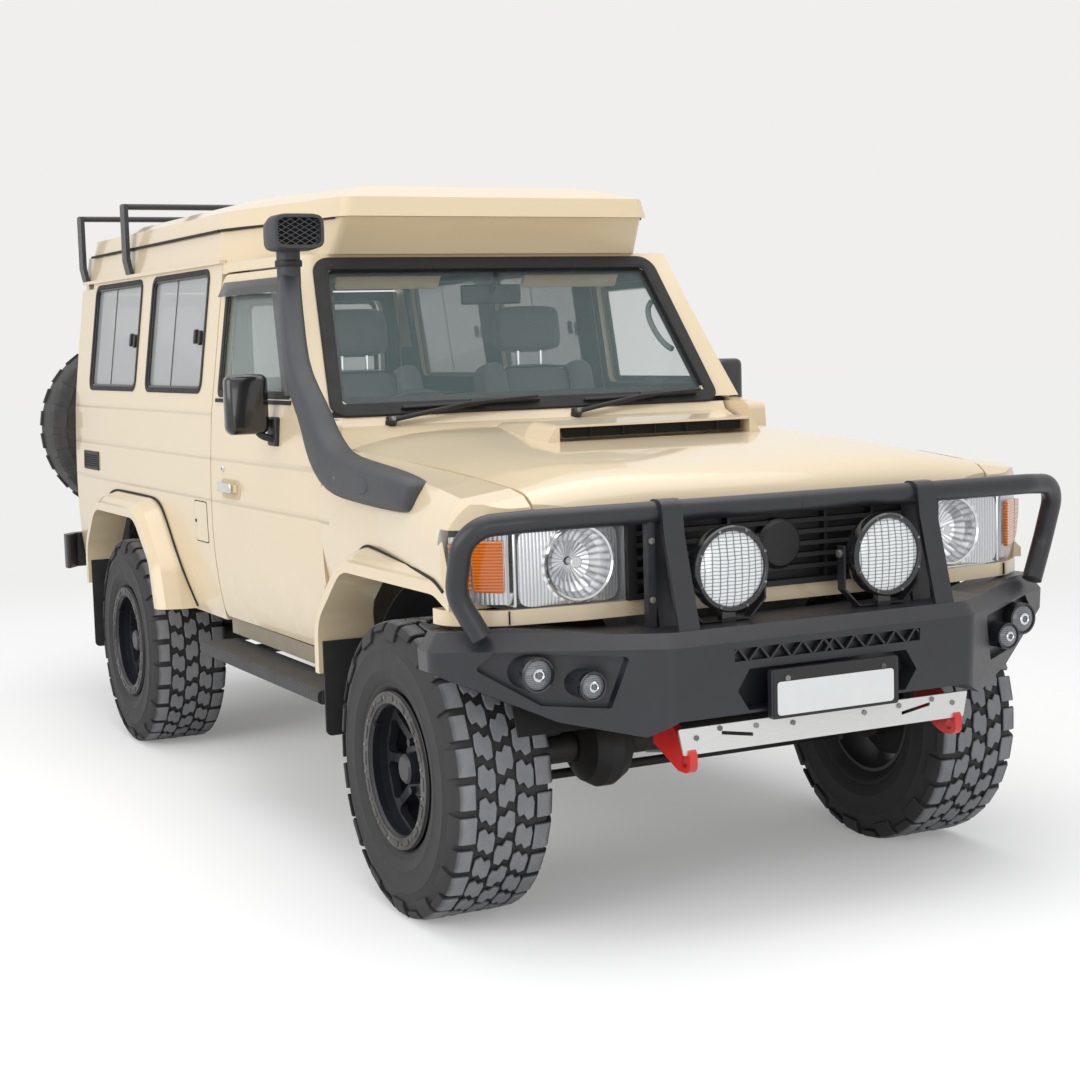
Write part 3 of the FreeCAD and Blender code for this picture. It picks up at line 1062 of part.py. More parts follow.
@cache
def bumper():
    """Steel bumper with winged ends, a chamfered top edge, lamp bays, a truss slot and a plate bracket."""
    face = FRONT_AXLE_Y - BUMPER_FACE
    centre, wing = BUMPER_CENTRE_HALF, BUMPER_HALF

    def layer(z, deep):
        plan = [(0, face + deep), (centre - 0.3 * deep, face + deep), (wing - deep, face + 330 + 0.4 * deep),
                (wing - 10 - deep, face + 430), (wing - 90, face + 430), (centre + 40, face + 230), (0, face + 230)]
        return outline([(x, y, z) for x, y in plan], [0, 60, 40, 0, 30, 60, 0])
    low_z, knee_z, top_z = BUMPER_LOW_Z - 90, BUMPER_TOP_Z - 38, BUMPER_TOP_Z + 30
    block = loft([layer(low_z, 12), layer(knee_z, 0), layer(BUMPER_TOP_Z + 8, 34), layer(top_z, 36)])
    core = loft([layer(low_z - 10, 12 + 24), layer(knee_z, 24), layer(top_z + 10, 60)])
    low = BUMPER_LOW_Z
    front_view = [(0, low + 8), (centre - 20, low + 8), (centre + 60, low - 30), (760, low + 15), (wing + 10, 800),
                  (wing + 10, 893), (wing - 200, 905), (centre + 120, BUMPER_TOP_Z), (0, BUMPER_TOP_Z)]
    block = block.common(prism(front_view, "y", face - 50, face + 600))
    recess = prism([(-10, 656), (262, 656), (300, 712), (262, 770), (-10, 770)], "y", face - 20, face + 70)
    half = block.cut(recess)
    bay = [(598, 828), (640, 690), (800, 700), (952, 800), (905, 846)]
    half = half.cut(prism(bay, "y", face - 50, face + 300, 10).cut(core))
    half = half.cut(box(0, RAIL_OUTER_X + 60, face + 120, face + 500, 0, BUMPER_TOP_Z - 40))
    slot_low, slot_high = 793, 828
    half = half.cut(box(-10, 310, face - 20, face + 24, slot_low, slot_high))
    truss = []
    for i in range(5):
        x = -18 + i * 70
        truss.append(prism([(x, slot_low - 2), (x + 8, slot_low - 2), (x + 39, slot_high + 2), (x + 31, slot_high + 2)],
                           "y", face + 4, face + 26))
        truss.append(prism([(x + 31, slot_high + 2), (x + 39, slot_high + 2), (x + 74, slot_low - 2),
                            (x + 66, slot_low - 2)], "y", face + 4, face + 26))
    for x, y, z, r in ((700, face + 150, 757, 38), (822, face + 226, 789, 46)):
        half = half.fuse(cylinder(r, (x, y - 66, z), (x, y + 20, z)))
    whole = fuse([half, mirrored(half)])
    struts = [t.common(box(-310, 310, face, face + 26, slot_low - 2, slot_high + 2)) for t in truss]
    whole = fuse([whole] + struts + [mirrored(t) for t in struts])
    plate = prism([(-212, 629), (212, 629), (212, 763), (-212, 763)], "y", face - 25, face - 7, 8)
    legs = [box(s * 120 - 20, s * 120 + 20, face - 8, face + 72, 690, 730) for s in (1, -1)]
    mounts = [box(s * 370 - 25, s * 370 + 25, face + 100, FRONT_AXLE_Y - RAIL_FRONT_AHEAD - SEAT_GAP, 660, 770)
              for s in (1, -1)]
    return fuse([whole, plate] + legs + mounts)


def bull_bar():
    """Top tube with dropped ends, two flat straps looped over it and an inner post behind each."""
    y = FRONT_AXLE_Y - BAR_TUBE_AHEAD
    z = BAR_TUBE_Z
    half = BAR_HALF
    top = BUMPER_TOP_Z
    path = [(0, y, z), (half - 160, y + 10, z), (half, y + 60, z - 10), (half, y + 120, top + 120),
            (half - 60, y + 100, top + 5)]
    side = tube(path, BAR_TUBE_RADIUS, 110)
    pieces = [side, mirrored(side)]
    face = FRONT_AXLE_Y - BUMPER_FACE
    t = STRAP_THICKNESS
    loop = [(face + 34, top - 5), (y - 44, z - 60), (y - 34, z + 34), (y + 34, z + 36), (y + 44, z - 30),
            (face + 150, top - 5), (face + 150 - t, top - 5), (y + 30, z - 30), (y + 24, z + 20), (y - 24, z + 20),
            (y - 30, z - 60), (face + 34 + t, top - 5)]
    for s in (1, -1):
        x0, x1 = sorted((s * (STRAP_X - STRAP_WIDTH / 2), s * (STRAP_X + STRAP_WIDTH / 2)))
        pieces.append(prism(loop, "x", x0, x1, [0, 12, 30, 30, 12, 0, 0, 6, 12, 12, 6, 0]))
        post = s * (STRAP_X + 52)
        pieces.append(box(post - 12, post + 12, y - 10, y + 14, top - 5, z))
    return fuse(pieces).cut(bumper())


def skid_plate():
    face = FRONT_AXLE_Y - BUMPER_FACE
    plate = prism([(-485, 628), (485, 628), (470, 556), (-470, 556)], "y", face + 10, face + 16, 4)
    back = prism([(face + 10, 562), (face + 16, 556), (face + 330, 500), (face + 330, 506)], "x", -400, 400)
    for s in (1, -1):
        slot = prism([(s * 250, 584), (s * 350, 600), (s * 350, 610), (s * 250, 594)], "y", face, face + 40)
        plate = plate.cut(slot)
    return fuse([plate, back]).cut(recovery_hooks()).cut(bumper())


@cache
def recovery_hooks():
    face = FRONT_AXLE_Y - BUMPER_FACE
    x0, x1 = HOOK_X - HOOK_THICKNESS / 2, HOOK_X + HOOK_THICKNESS / 2
    hook = prism([(face, HOOK_EYE_Z - 28), (face + 62, HOOK_EYE_Z - 28), (face + 190, 560), (face + 190, 625),
                  (face + 90, 625), (face, HOOK_EYE_Z + 30)], "x", x0, x1, [26, 24, 0, 0, 12, 26])
    hook = hook.cut(cylinder(HOOK_EYE_RADIUS, (x0 - 50, face + HOOK_EYE_BACK, HOOK_EYE_Z),
                             (x1 + 50, face + HOOK_EYE_BACK, HOOK_EYE_Z)))
    return Part.makeCompound([hook, mirrored(hook)])


def driving_lamps():
    y = FRONT_AXLE_Y - 707
    r, d = DRIVE_LAMP_RADIUS, DRIVE_LAMP_DEPTH
    lamp = turned([(0, 0), (0, r - 14), (8, r - 4), (30, r), (44, r - 4), (d * 0.8, r * 0.55), (d, r * 0.3), (d, 0)],
                  (DRIVE_LAMP_X, y, DRIVE_LAMP_Z), (0, 1, 0))
    foot = BUMPER_TOP_Z + SEAT_GAP
    stand = prism([(-24, foot), (24, foot), (18, DRIVE_LAMP_Z - r + 12), (-18, DRIVE_LAMP_Z - r + 12)], "y", y + 18, y + 40)
    stand.translate(Vector(DRIVE_LAMP_X, 0, 0))
    one = fuse([lamp, stand])
    return Part.makeCompound([one, mirrored(one)])


def snorkel():
    """Air intake on the right: a rounded pod on the fender, an elbow, a column along the pillar and a head."""
    def ring(y, z, x, half_x, half_across, tilt):
        """Rounded section square to a path that climbs at the tilt."""
        lean = math.radians(tilt)
        points = []
        for u, w in ((-1, -1), (1, -1), (1, 1), (-1, 1)):
            points.append((-x - u * half_x, y - w * half_across * math.sin(lean), z + w * half_across * math.cos(lean)))
        return outline(points, 0.62 * min(half_x, half_across))
    y = FRONT_AXLE_Y
    pod = loft([ring(y - 96, 1226, 905, 26, 22, 0), ring(y - 80, 1230, 907, 44, 40, 0), ring(y - 30, 1236, 911, 54, 53, 0),
                ring(y + 120, 1244, 908, 56, 62, 2), ring(y + 380, 1256, 902, 56, 66, 4),
                ring(y + 560, 1276, 900, 56, 70, 12), ring(y + 652, 1338, 901, 54, 68, 38),
                ring(y + 728, 1448, 903, 47, 52, 52), ring(y + 863, 1560, 905, 39, 46, 50),
                ring(y + 1013, 1740, 864, 38, 39, 52), ring(y + 1136, 1900, 824, 38, 33, 58)])
    cx, cy = -824, y + 1136
    neck = Part.makeCylinder(40, 112, Vector(cx, cy, 1888), Vector(0, 0, 1))
    clamp = Part.makeCylinder(45, 22, Vector(cx, cy, 1930), Vector(0, 0, 1))

    def hexagon(y_, half, low, high):
        middle = (low + high) / 2
        return outline([(cx - half, y_, middle), (cx - 0.66 * half, y_, low), (cx + 0.66 * half, y_, low),
                        (cx + half, y_, middle), (cx + 0.66 * half, y_, high), (cx - 0.66 * half, y_, high)], 8)
    head = loft([hexagon(cy - 118, 88, 1990, 2104), hexagon(cy - 40, 90, 1984, 2106), hexagon(cy + 20, 82, 1986, 2092),
                 hexagon(cy + 58, 56, 1996, 2064)], True)
    mouth = loft([hexagon(cy - 130, 76, 2002, 2092), hexagon(cy - 58, 70, 2006, 2086)])
    whole = fuse([pod, neck, clamp, head.cut(mouth)]).cut(fender(-1)).cut(windscreen_frame())
    return max(whole.Solids, key=lambda one: one.Volume)


def mirror(side):
    door_x = HALF_BELT - FRONT_NARROW_LOW
    y = pillar_y(BELT_Z, 100) + 150
    x0 = MIRROR_OUTER_X - MIRROR_WIDTH
    head = prism([(x0, 1372), (MIRROR_OUTER_X, 1372), (MIRROR_OUTER_X, 1372 + MIRROR_HEIGHT), (x0, 1372 + MIRROR_HEIGHT)],
                 "y", y, y + MIRROR_DEPTH, 24)
    arm = prism([(door_x - 8, 1352), (door_x + 40, 1352), (x0 + 50, 1400), (x0 + 50, 1440), (x0 - 4, 1440),
                 (door_x - 8, 1420)], "y", y + 10, y + 44, 8)
    foot = box(door_x - 6, door_x + 22, y - 20, y + 60, 1330, 1425)
    door, glass = front_door(1)
    return on_side(fuse([head, arm, foot]).cut(door).cut(glass), side)


def side_steps():
    y0, y1 = FRONT_AXLE_Y + 640, REAR_AXLE_Y - 1090
    step = prism([(STEP_OUTER_X - STEP_WIDTH, STEP_Z), (STEP_OUTER_X, STEP_Z), (STEP_OUTER_X, STEP_Z + STEP_THICKNESS),
                  (STEP_OUTER_X - STEP_WIDTH, STEP_Z + STEP_THICKNESS)], "y", y0, y1, 18)
    braces = [box(RAIL_OUTER_X + SEAT_GAP, STEP_OUTER_X - STEP_WIDTH + 20, y - 20, y + 20, STEP_Z + 8, STEP_Z + 38)
              for y in (y0 + 330, y1 - 160)]
    one = fuse([step] + braces)
    return Part.makeCompound([one, mirrored(one)])


def hinge_barrels(x, y, heights, radius, length):
    return [Part.makeCylinder(radius, length, Vector(x, y, z - length / 2)) for z in heights]


def mudflaps():
    flaps = []
    for edge, low, out in ((FRONT_AXLE_Y + ARCH_BACK_FRONT, 440, FLARE_OUT - 14),
                           (REAR_AXLE_Y + ARCH_BACK_REAR, 350, FLARE_OUT - 14)):
        y = edge - SEAT_GAP - FLAP_THICKNESS
        flap = prism([(out - FLAP_WIDTH, low), (out, low), (out, 742), (out - FLAP_WIDTH, 742)], "y", y, y + FLAP_THICKNESS,
                     [20, 20, 0, 0])
        flaps += [flap, mirrored(flap)]
    return Part.makeCompound(flaps)


@cache
def rear_bumper():
    y = BODY_REAR_Y - 60
    bar = prism([(-955, y - 20), (-955, y + 60), (-880, y + 130), (880, y + 130), (955, y + 60), (955, y - 20),
                 (890, y + 62 + 4), (-890, y + 62 + 4)], "z", 655, 815, [10, 30, 40, 40, 30, 10, 10, 10])
    mounts = [box(s * 370 - 25, s * 370 + 25, REAR_AXLE_Y + RAIL_REAR_BEHIND + SEAT_GAP, y + 80, 670, 760) for s in (1, -1)]
    hitch = box(-45, 45, y + 100, y + 175, 600, 690).cut(box(-26, 26, y + 90, y + 300, 619, 671))
    return fuse([bar, hitch] + mounts)


def roof_bars():
    pieces = []
    for i in range(2):
        y = ROOF_BAR_FIRST_Y + i * ROOF_BAR_PITCH
        bar = prism([(y - 25, ROOF_BAR_Z - 12), (y + 25, ROOF_BAR_Z - 12), (y + 25, ROOF_BAR_Z + 12), (y - 25, ROOF_BAR_Z + 12)],
                    "x", -BAR_LEG_X - 6, BAR_LEG_X + 6, 11)
        legs = []
        for s in (1, -1):
            leg = prism([(HALF_TOP + 1, GUTTER_Z + 14 + SEAT_GAP), (HALF_TOP + 18, GUTTER_Z + 14 + SEAT_GAP), (BAR_LEG_X + 6, 2060), (BAR_LEG_X + 6, ROOF_BAR_Z + 8),
                         (BAR_LEG_X - 12, ROOF_BAR_Z + 8), (BAR_LEG_X - 12, 2068)], "y", y - 35, y + 35)
            legs.append(on_side(leg, s))
        pieces.append(fuse([bar] + legs))
    return Part.makeCompound(pieces)


def tail_lamps():
    lamp = box(REAR_DOOR_HALF + 6, HALF_LOWER - 16, BODY_REAR_Y + SEAT_GAP, BODY_REAR_Y + 22, 850, 1090)
    return Part.makeCompound([lamp, mirrored(lamp)])


def wipers():
    arms = []
    for x, reach in ((-560, 560), (150, 520)):
        z = SCREEN_FOOT_Z + 8
        y = pillar_y(z)
        pivot = cylinder(12, (x, y - 34, z - 34), (x, y - 8, z - 16))
        arm = tube([(x, y - 30, z - 20), (x + reach * 0.5, y - 34, z + 26), (x + reach, y - 22, z + 40)], 6, 40)
        arms.append(fuse([pivot, arm]))
    return Part.makeCompound(arms).cut(windscreen_frame())


def build():
    save("chassis_frame", chassis_frame())
    save("engine_block", engine_block())
    save("drivetrain", drivetrain())
    save("exhaust", exhaust())
    save("front_axle", front_axle())
    save("rear_axle", rear_axle())
    save("springs", springs())
    save("tie_rod", tie_rod())
    save("floor_pan", floor_pan().cut(body_side(1)).cut(body_side(-1)).cut(rear_bumper()))
    save("front_seats", front_seats())
    save("dashboard", dashboard())
    save("steering_wheel", steering_wheel())
    save("roof_shell", roof_shell())
    save("roof_lid", roof_lid())
    save("windscreen_frame", windscreen_frame())
    save("fixed_glass", fixed_glass())
    save("bonnet", bonnet())
    save("grille", grille())
    save("valance", valance())
    save("headlights", headlights())
    save("bumper", bumper())
    save("bull_bar", bull_bar())
    save("skid_plate", skid_plate())
    save("recovery_hooks", recovery_hooks())
    save("driving_lamps", driving_lamps())
    save("snorkel", snorkel())
    save("side_steps", side_steps())
    save("mudflaps", mudflaps())
    save("rear_bumper", rear_bumper())
    save("roof_bars", roof_bars())
    save("tail_lamps", tail_lamps())
    save("wipers", wipers())
    tyre = tyre_solid()
    rim = rim_solid()
    for name, side in (("right", -1), ("left", 1)):
        save("knuckle_" + name, knuckle(side))
        save("body_side_" + name, body_side(side))
        save("fender_" + name, fender(side))
        save("mirror_" + name, mirror(side))
        door, glass = front_door(side)
        save("front_door_" + name, door)
        save("front_glass_" + name, glass)
        door, glass = rear_door(side)
        save("rear_door_" + name, door)
        save("rear_glass_" + name, glass)
        save("tyre_front_" + name, placed(tyre, side, TRACK_FRONT / 2, FRONT_AXLE_Y, AXLE_Z))
        save("rim_front_" + name, placed(rim, side, TRACK_FRONT / 2, FRONT_AXLE_Y, AXLE_Z))
        save("tyre_rear_" + name, placed(tyre, side, TRACK_REAR / 2, REAR_AXLE_Y, AXLE_Z))
        save("rim_rear_" + name, placed(rim, side, TRACK_REAR / 2, REAR_AXLE_Y, AXLE_Z))
    spare = fuse([tyre, rim])
    spare.rotate(Vector(0, 0, 0), Vector(0, 0, 1), 90)
    spare.translate(Vector(SPARE_X, BODY_REAR_Y + SPARE_GAP + TYRE_WIDTH / 2, SPARE_Z))
    save("spare_wheel", spare)


build()
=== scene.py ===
# %% [markdown]
# The lifted off-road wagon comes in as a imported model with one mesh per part. This lesson dresses
# that frame: it lights it, gives every part a procedural finish, and adds the small things that a
# CAD part leaves out, such as tread, rubber seals, lamp glass, bolts and mesh.

# %% Load the frame
import json
import math

import bmesh
import bpy
from mathutils import Matrix, Vector
from mathutils.bvhtree import BVHTree


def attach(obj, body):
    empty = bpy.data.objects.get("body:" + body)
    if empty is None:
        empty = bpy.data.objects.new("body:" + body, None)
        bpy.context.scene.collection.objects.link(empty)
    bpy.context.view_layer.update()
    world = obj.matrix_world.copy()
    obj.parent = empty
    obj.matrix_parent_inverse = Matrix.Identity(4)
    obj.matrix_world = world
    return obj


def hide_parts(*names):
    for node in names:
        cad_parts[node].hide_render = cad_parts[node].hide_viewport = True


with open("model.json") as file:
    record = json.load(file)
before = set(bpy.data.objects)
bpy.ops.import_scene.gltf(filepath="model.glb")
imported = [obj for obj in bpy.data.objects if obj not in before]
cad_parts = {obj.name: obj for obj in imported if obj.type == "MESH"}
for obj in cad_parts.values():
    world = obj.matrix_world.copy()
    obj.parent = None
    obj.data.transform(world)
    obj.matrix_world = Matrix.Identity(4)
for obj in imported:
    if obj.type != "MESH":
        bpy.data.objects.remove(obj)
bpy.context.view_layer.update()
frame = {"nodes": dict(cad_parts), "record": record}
NODES = frame["nodes"]
SIDES = {"right": -1, "left": 1}

# %% [markdown]
# The camera stands a little above bonnet height, off the front right corner, with a long lens. Its
# place was solved from the wheels, the lamps and the windscreen, so the render and the photograph
# line up. It's set with matrices, as every form below is: one moves, one turns, and the @ sign
# chains them.

# %% Camera
CAMERA_PLACE = (-3.0571, -6.8559, 1.6538)
CAMERA_YAW, CAMERA_PITCH, CAMERA_ROLL = 27.133, -5.887, -1.604
LENS_MM, SENSOR_MM = 63.5, 36.0


def at(x, y, z):
    return Matrix.Translation((x, y, z))


def turned(degrees, axis):
    return Matrix.Rotation(math.radians(degrees), 4, axis)


lens = bpy.data.cameras.new("photo_camera")
lens.lens = LENS_MM
lens.sensor_width = lens.sensor_height = SENSOR_MM
camera = bpy.data.objects.new("photo_camera", lens)
camera.matrix_world = (at(*CAMERA_PLACE) @ turned(-CAMERA_YAW, "Z") @ turned(90 + CAMERA_PITCH, "X")
                       @ turned(CAMERA_ROLL, "Z"))
bpy.context.scene.collection.objects.link(camera)
bpy.context.scene.camera = camera
print("camera at", CAMERA_PLACE, "lens", LENS_MM, "mm")

# %% [markdown]
# A finish in Blender is a small graph of nodes. Writing such a graph by hand takes many lines, so a
# value that travels along a wire gets a class of its own here: adding, multiplying or comparing two
# of them adds the Math node that does it.


# %% Shader arithmetic
class Wire:
    """An output socket; arithmetic on it adds Math nodes to the same material."""

    def __init__(self, finish, socket):
        self.finish = finish
        self.socket = socket

    def math(self, operation, *terms):
        return self.finish.add("ShaderNodeMath", {"operation": operation}, dict(enumerate(terms)))

    def __add__(self, other):
        return self.math("ADD", self, other)

    __radd__ = __add__

    def __mul__(self, other):
        return self.math("MULTIPLY", self, other)

    __rmul__ = __mul__

    def __sub__(self, other):
        return self.math("SUBTRACT", self, other)

    def __rsub__(self, other):
        return self.math("SUBTRACT", other, self)

    def __truediv__(self, other):
        return self.math("DIVIDE", self, other)

    def __pow__(self, other):
        return self.math("POWER", self, other)

    def __gt__(self, other):
        return self.math("GREATER_THAN", self, other)

    def __lt__(self, other):
        return self.math("LESS_THAN", self, other)

    def abs(self):
        return self.math("ABSOLUTE", self)

    def wave(self):
        return self.math("SINE", self)

    def fract(self):
        return self.math("FRACT", self)

    def greater_of(self, other):
        return self.math("MAXIMUM", self, other)

    def clamped(self, low=0.0, high=1.0):
        return self.finish.add("ShaderNodeClamp", {}, {"Value": self, "Min": low, "Max": high})


# %% [markdown]
# One method makes every other node: it takes the node's type, its settings, and the values or wires
# of its sockets. The methods after it are the few patterns that all finishes here are made of. A
# finished material is kept in FINISHES under its own name, where the pieces find it.

# %% Finishes
FINISHES = {}


class Finish:
    """One material: add() makes a node and gives back its output as a Wire."""

    def __init__(self, name):
        self.name = name
        self.material = bpy.data.materials.new(name)
        self.material.use_nodes = True
        self.tree = self.material.node_tree
        self.tree.nodes.clear()

    def add(self, kind, settings=None, values=None, output=0):
        node = self.tree.nodes.new(kind)
        for key, value in (settings or {}).items():
            setattr(node, key, value)
        for key, value in (values or {}).items():
            if isinstance(value, Wire):
                self.tree.links.new(value.socket, node.inputs[key])
            else:
                node.inputs[key].default_value = value
        return Wire(self, node.outputs[output])

    def place(self):
        return self.add("ShaderNodeTexCoord", output="Object")

    def axes(self):
        place = self.place()
        return [self.add("ShaderNodeSeparateXYZ", values={0: place}, output=i) for i in range(3)]

    def noise(self, scale, detail=4.0, roughness=0.5, stretch=None):
        place = self.place()
        if stretch:
            place = self.add("ShaderNodeMapping", values={"Vector": place, "Scale": stretch})
        return self.add("ShaderNodeTexNoise", values={"Vector": place, "Scale": scale, "Detail": detail,
                                                      "Roughness": roughness})

    def ramp(self, wire, low, high, start=0.0, end=1.0):
        return self.add("ShaderNodeMapRange", values={"Value": wire, "From Min": low, "From Max": high,
                                                      "To Min": start, "To Max": end})

    def mix(self, factor, first, second):
        values = {0: factor, 6: first, 7: second}
        return self.add("ShaderNodeMix", {"data_type": "RGBA"}, values, output=2)

    def bump(self, height, strength, distance, normal=None):
        values = {"Height": height, "Strength": strength, "Distance": distance}
        if normal:
            values["Normal"] = normal
        return self.add("ShaderNodeBump", values=values)

    def surface(self, **values):
        named = {key.replace("_", " "): value for key, value in values.items()}
        self.add_output(self.add("ShaderNodeBsdfPrincipled", values=named, output="BSDF"))
        FINISHES[self.name] = self.material

    def add_output(self, shader):
        node = self.tree.nodes.new("ShaderNodeOutputMaterial")
        self.tree.links.new(shader.socket, node.inputs["Surface"])


def rgb(red, green, blue):
    """A colour as it shows on a screen, from 0 to 255, as the linear values that shaders use."""
    linear = [((c / 255 + 0.055) / 1.055) ** 2.4 if c > 10 else c / 255 / 12.92
              for c in (red, green, blue)]
    return (*linear, 1.0)


# %% [markdown]
# Body paint on this wagon is a plain, non-metallic sand beige under gloss. Real paint is never
# quite even: it has a faint orange-peel ripple that breaks up reflections, and a little road dust
# low down. The folds pressed along the flanks are bumps at three levels. The same panels show a
# grey lining inside the cab. One mesh has only one finish here, so the paint asks where a point
# lies: inside the walls, behind the windscreen's plane and under the roof it turns grey, but not on
# the leaning brow of the roof.

# %% Sand paint
SAND = rgb(226, 206, 172)
SAND_SHADE = rgb(222, 201, 166)
SAND_DUSTY = rgb(205, 184, 150)
BELT_Z = 1.425
FOLD_LEVELS, FOLD_WIDTH = (1.262, 1.105, 1.428), 0.010


def lined_cab(x, y, z):
    """1 on the panels' inner faces: the inner wall leans in above the belt and narrows to the front."""
    rise = (z - BELT_Z).clamped(0.0, 0.7)
    share = ((0.0925 - y) / 1.138).clamped()
    wall = 0.83 - rise * 0.13 - share * (rise * 0.125 + 0.012)
    behind_screen = y > (z - 1.424) * 0.645 - 0.840
    inside = (x.abs() < wall) * behind_screen * (y < 2.165) * (z > 0.82) * (z < 2.10)
    brow = (z > 1.93) * (x.abs() > (y + 0.62) * 0.243 + 0.572)
    return inside * (brow < 0.5)


def sand_paint(name):
    finish = Finish(name)
    x, y, z = finish.axes()
    cloud = finish.noise(1.6, 3.0)
    dust = finish.ramp(z, 0.95, 0.55) * finish.ramp(finish.noise(9.0, 6.0, 0.65), 0.35, 0.7)
    base = finish.mix(finish.ramp(cloud, 0.3, 0.7, 0.0, 0.22), SAND, SAND_SHADE)
    base = finish.mix((dust * 0.45).clamped(), base, SAND_DUSTY)
    lining = finish.mix(finish.ramp(cloud, 0.3, 0.7), rgb(96, 97, 98), rgb(112, 112, 112))
    inside = lined_cab(x, y, z)
    lines = [finish.ramp((z - level).abs(), 0.0, FOLD_WIDTH, 1.0, 0.0) for level in FOLD_LEVELS]
    folds = lines[0] + lines[1] + lines[2] * (y > 0.09)
    flank = (x.abs() > 0.78) * (y > -1.15)
    pressed = finish.bump(folds * flank, 1.0, 0.006)
    peel = finish.bump(finish.noise(240.0, 2.0, 0.4), 0.05, 0.002, pressed)
    finish.surface(Base_Color=finish.mix(inside, base, lining), Normal=peel, Coat_Weight=0.7,
                   Coat_Roughness=0.06, Roughness=0.30 + dust.clamped() * 0.28 + inside * 0.4)


sand_paint("sand_paint")
print("finishes", *FINISHES)

# %% [markdown]
# The bumper and bars are powder-coated steel: dark charcoal, satin, with a very fine pebbled skin.
# The mouldings are plastic with a coarser grain. One function gives both, with different numbers:
# cells of Voronoi noise with plain noise on top make the pebbles, and soft patches of a lighter
# tone keep a large dark panel from looking flat.

# %% Black finishes
def grained(name, colour, light, roughness, grain, depth, coat=0.0):
    finish = Finish(name)
    patch = finish.ramp(finish.noise(7.0, 5.0, 0.6), 0.35, 0.7)
    cells = finish.add("ShaderNodeTexVoronoi", values={"Vector": finish.place(), "Scale": grain})
    pebble = cells + finish.noise(grain * 0.5, 3.0) * 0.6
    uneven = (finish.noise(30.0, 3.0) - 0.5) * 0.12
    finish.surface(Base_Color=finish.mix(patch * 0.5, colour, light), Roughness=roughness + uneven,
                   Coat_Weight=coat, Coat_Roughness=0.2, Normal=finish.bump(pebble, depth, 0.0008))


grained("bar_black", rgb(36, 37, 42), rgb(45, 46, 51), 0.42, grain=900.0, depth=0.16, coat=0.15)
grained("black_plastic", rgb(28, 28, 30), rgb(38, 38, 40), 0.5, grain=1100.0, depth=0.2)
grained("snorkel_plastic", rgb(58, 59, 63), rgb(68, 69, 73), 0.52, grain=700.0, depth=0.3)
grained("dash_plastic", rgb(62, 63, 65), rgb(74, 75, 77), 0.6, grain=500.0, depth=0.3)
grained("frame_metal", rgb(34, 35, 37), rgb(44, 45, 47), 0.38, grain=1500.0, depth=0.06, coat=0.2)
print("finishes", len(FINISHES))

# %% [markdown]
# Rubber is dark, dull and dusty. On the tyres the tops of the tread are worn to a paler grey by the
# road, so that finish measures how far a point is from its own axle and lightens the outermost
# millimetres.

# %% Rubber
AXLE_FRONT, AXLE_REAR, AXLE_Z = -1.8275, 1.1525, 0.435
BETWEEN_AXLES_Y = -0.34


def rubber_skin(finish, dust, colour):
    fine = finish.noise(420.0, 3.0, 0.6)
    finish.surface(Base_Color=colour, Roughness=0.62 + dust * 0.2,
                   Normal=finish.bump(fine, 0.18, 0.0006))


def rubber(name, colour, dust_colour):
    finish = Finish(name)
    dust = finish.ramp(finish.noise(14.0, 8.0, 0.7), 0.42, 0.72)
    rubber_skin(finish, dust, finish.mix(dust * 0.55, colour, dust_colour))


def tread_rubber(name):
    finish = Finish(name)
    x, y, z = finish.axes()
    axle = (y < BETWEEN_AXLES_Y) * (AXLE_FRONT - AXLE_REAR) + AXLE_REAR
    along_y, up = y - axle, z - AXLE_Z
    worn_top = finish.ramp((along_y * along_y + up * up) ** 0.5, 0.4270, 0.4335)
    dust = finish.ramp(finish.noise(16.0, 8.0, 0.7), 0.40, 0.72)
    dark = finish.mix(dust * 0.5, rgb(40, 40, 41), rgb(66, 65, 64))
    pale = finish.mix(dust * 0.6, rgb(126, 127, 131), rgb(156, 155, 153))
    rubber_skin(finish, dust, finish.mix(worn_top, dark, pale))


rubber("tyre_rubber", rgb(48, 48, 49), rgb(92, 90, 86))
rubber("flap_rubber", rgb(32, 32, 33), rgb(58, 56, 53))
rubber("seal_black", rgb(27, 27, 28), rgb(46, 45, 43))
tread_rubber("tread_rubber")
print("finishes", len(FINISHES))

# %% [markdown]
# Window glass is nearly clear on the windscreen and smoked along the sides. Each pane is a thin
# solid plate. It lets light through by its Alpha, and a facing term raises Alpha towards grazing
# angles, so that the reflection stays full there. The facing term is the same on both faces of a
# pane; a Fresnel one isn't. The windscreen and the rear side windows are one part of the frame, so
# their finish tells them apart by how far back a point lies.

# %% Glass
def covering(finish, cover):
    """Alpha of a pane that hides a share of what is behind it, and more at grazing angles."""
    facing = finish.add("ShaderNodeLayerWeight", values={"Blend": 0.5}, output="Facing")
    return (facing ** 4.0 * 0.8 * (1 - cover) + cover).clamped()


def glass(name, colour, cover):
    finish = Finish(name)
    streak = finish.noise(3.0, 4.0, 0.6, stretch=(1, 1, 0.3))
    finish.surface(Base_Color=colour, Roughness=0.015 + streak * 0.02, Alpha=covering(finish, cover),
                   Specular_IOR_Level=0.8, Coat_Weight=0.6, Coat_Roughness=0.01)


def two_glasses(name):
    finish = Finish(name)
    behind = finish.axes()[1] > -0.40
    tone = finish.mix(behind, rgb(158, 188, 188), rgb(184, 185, 186))
    streak = finish.noise(3.0, 4.0, 0.6)
    finish.surface(Base_Color=tone, Roughness=0.012 + streak * 0.02, Specular_IOR_Level=0.6,
                   Alpha=covering(finish, behind * 0.48 + 0.085), Coat_Weight=0.3,
                   Coat_Roughness=0.01)


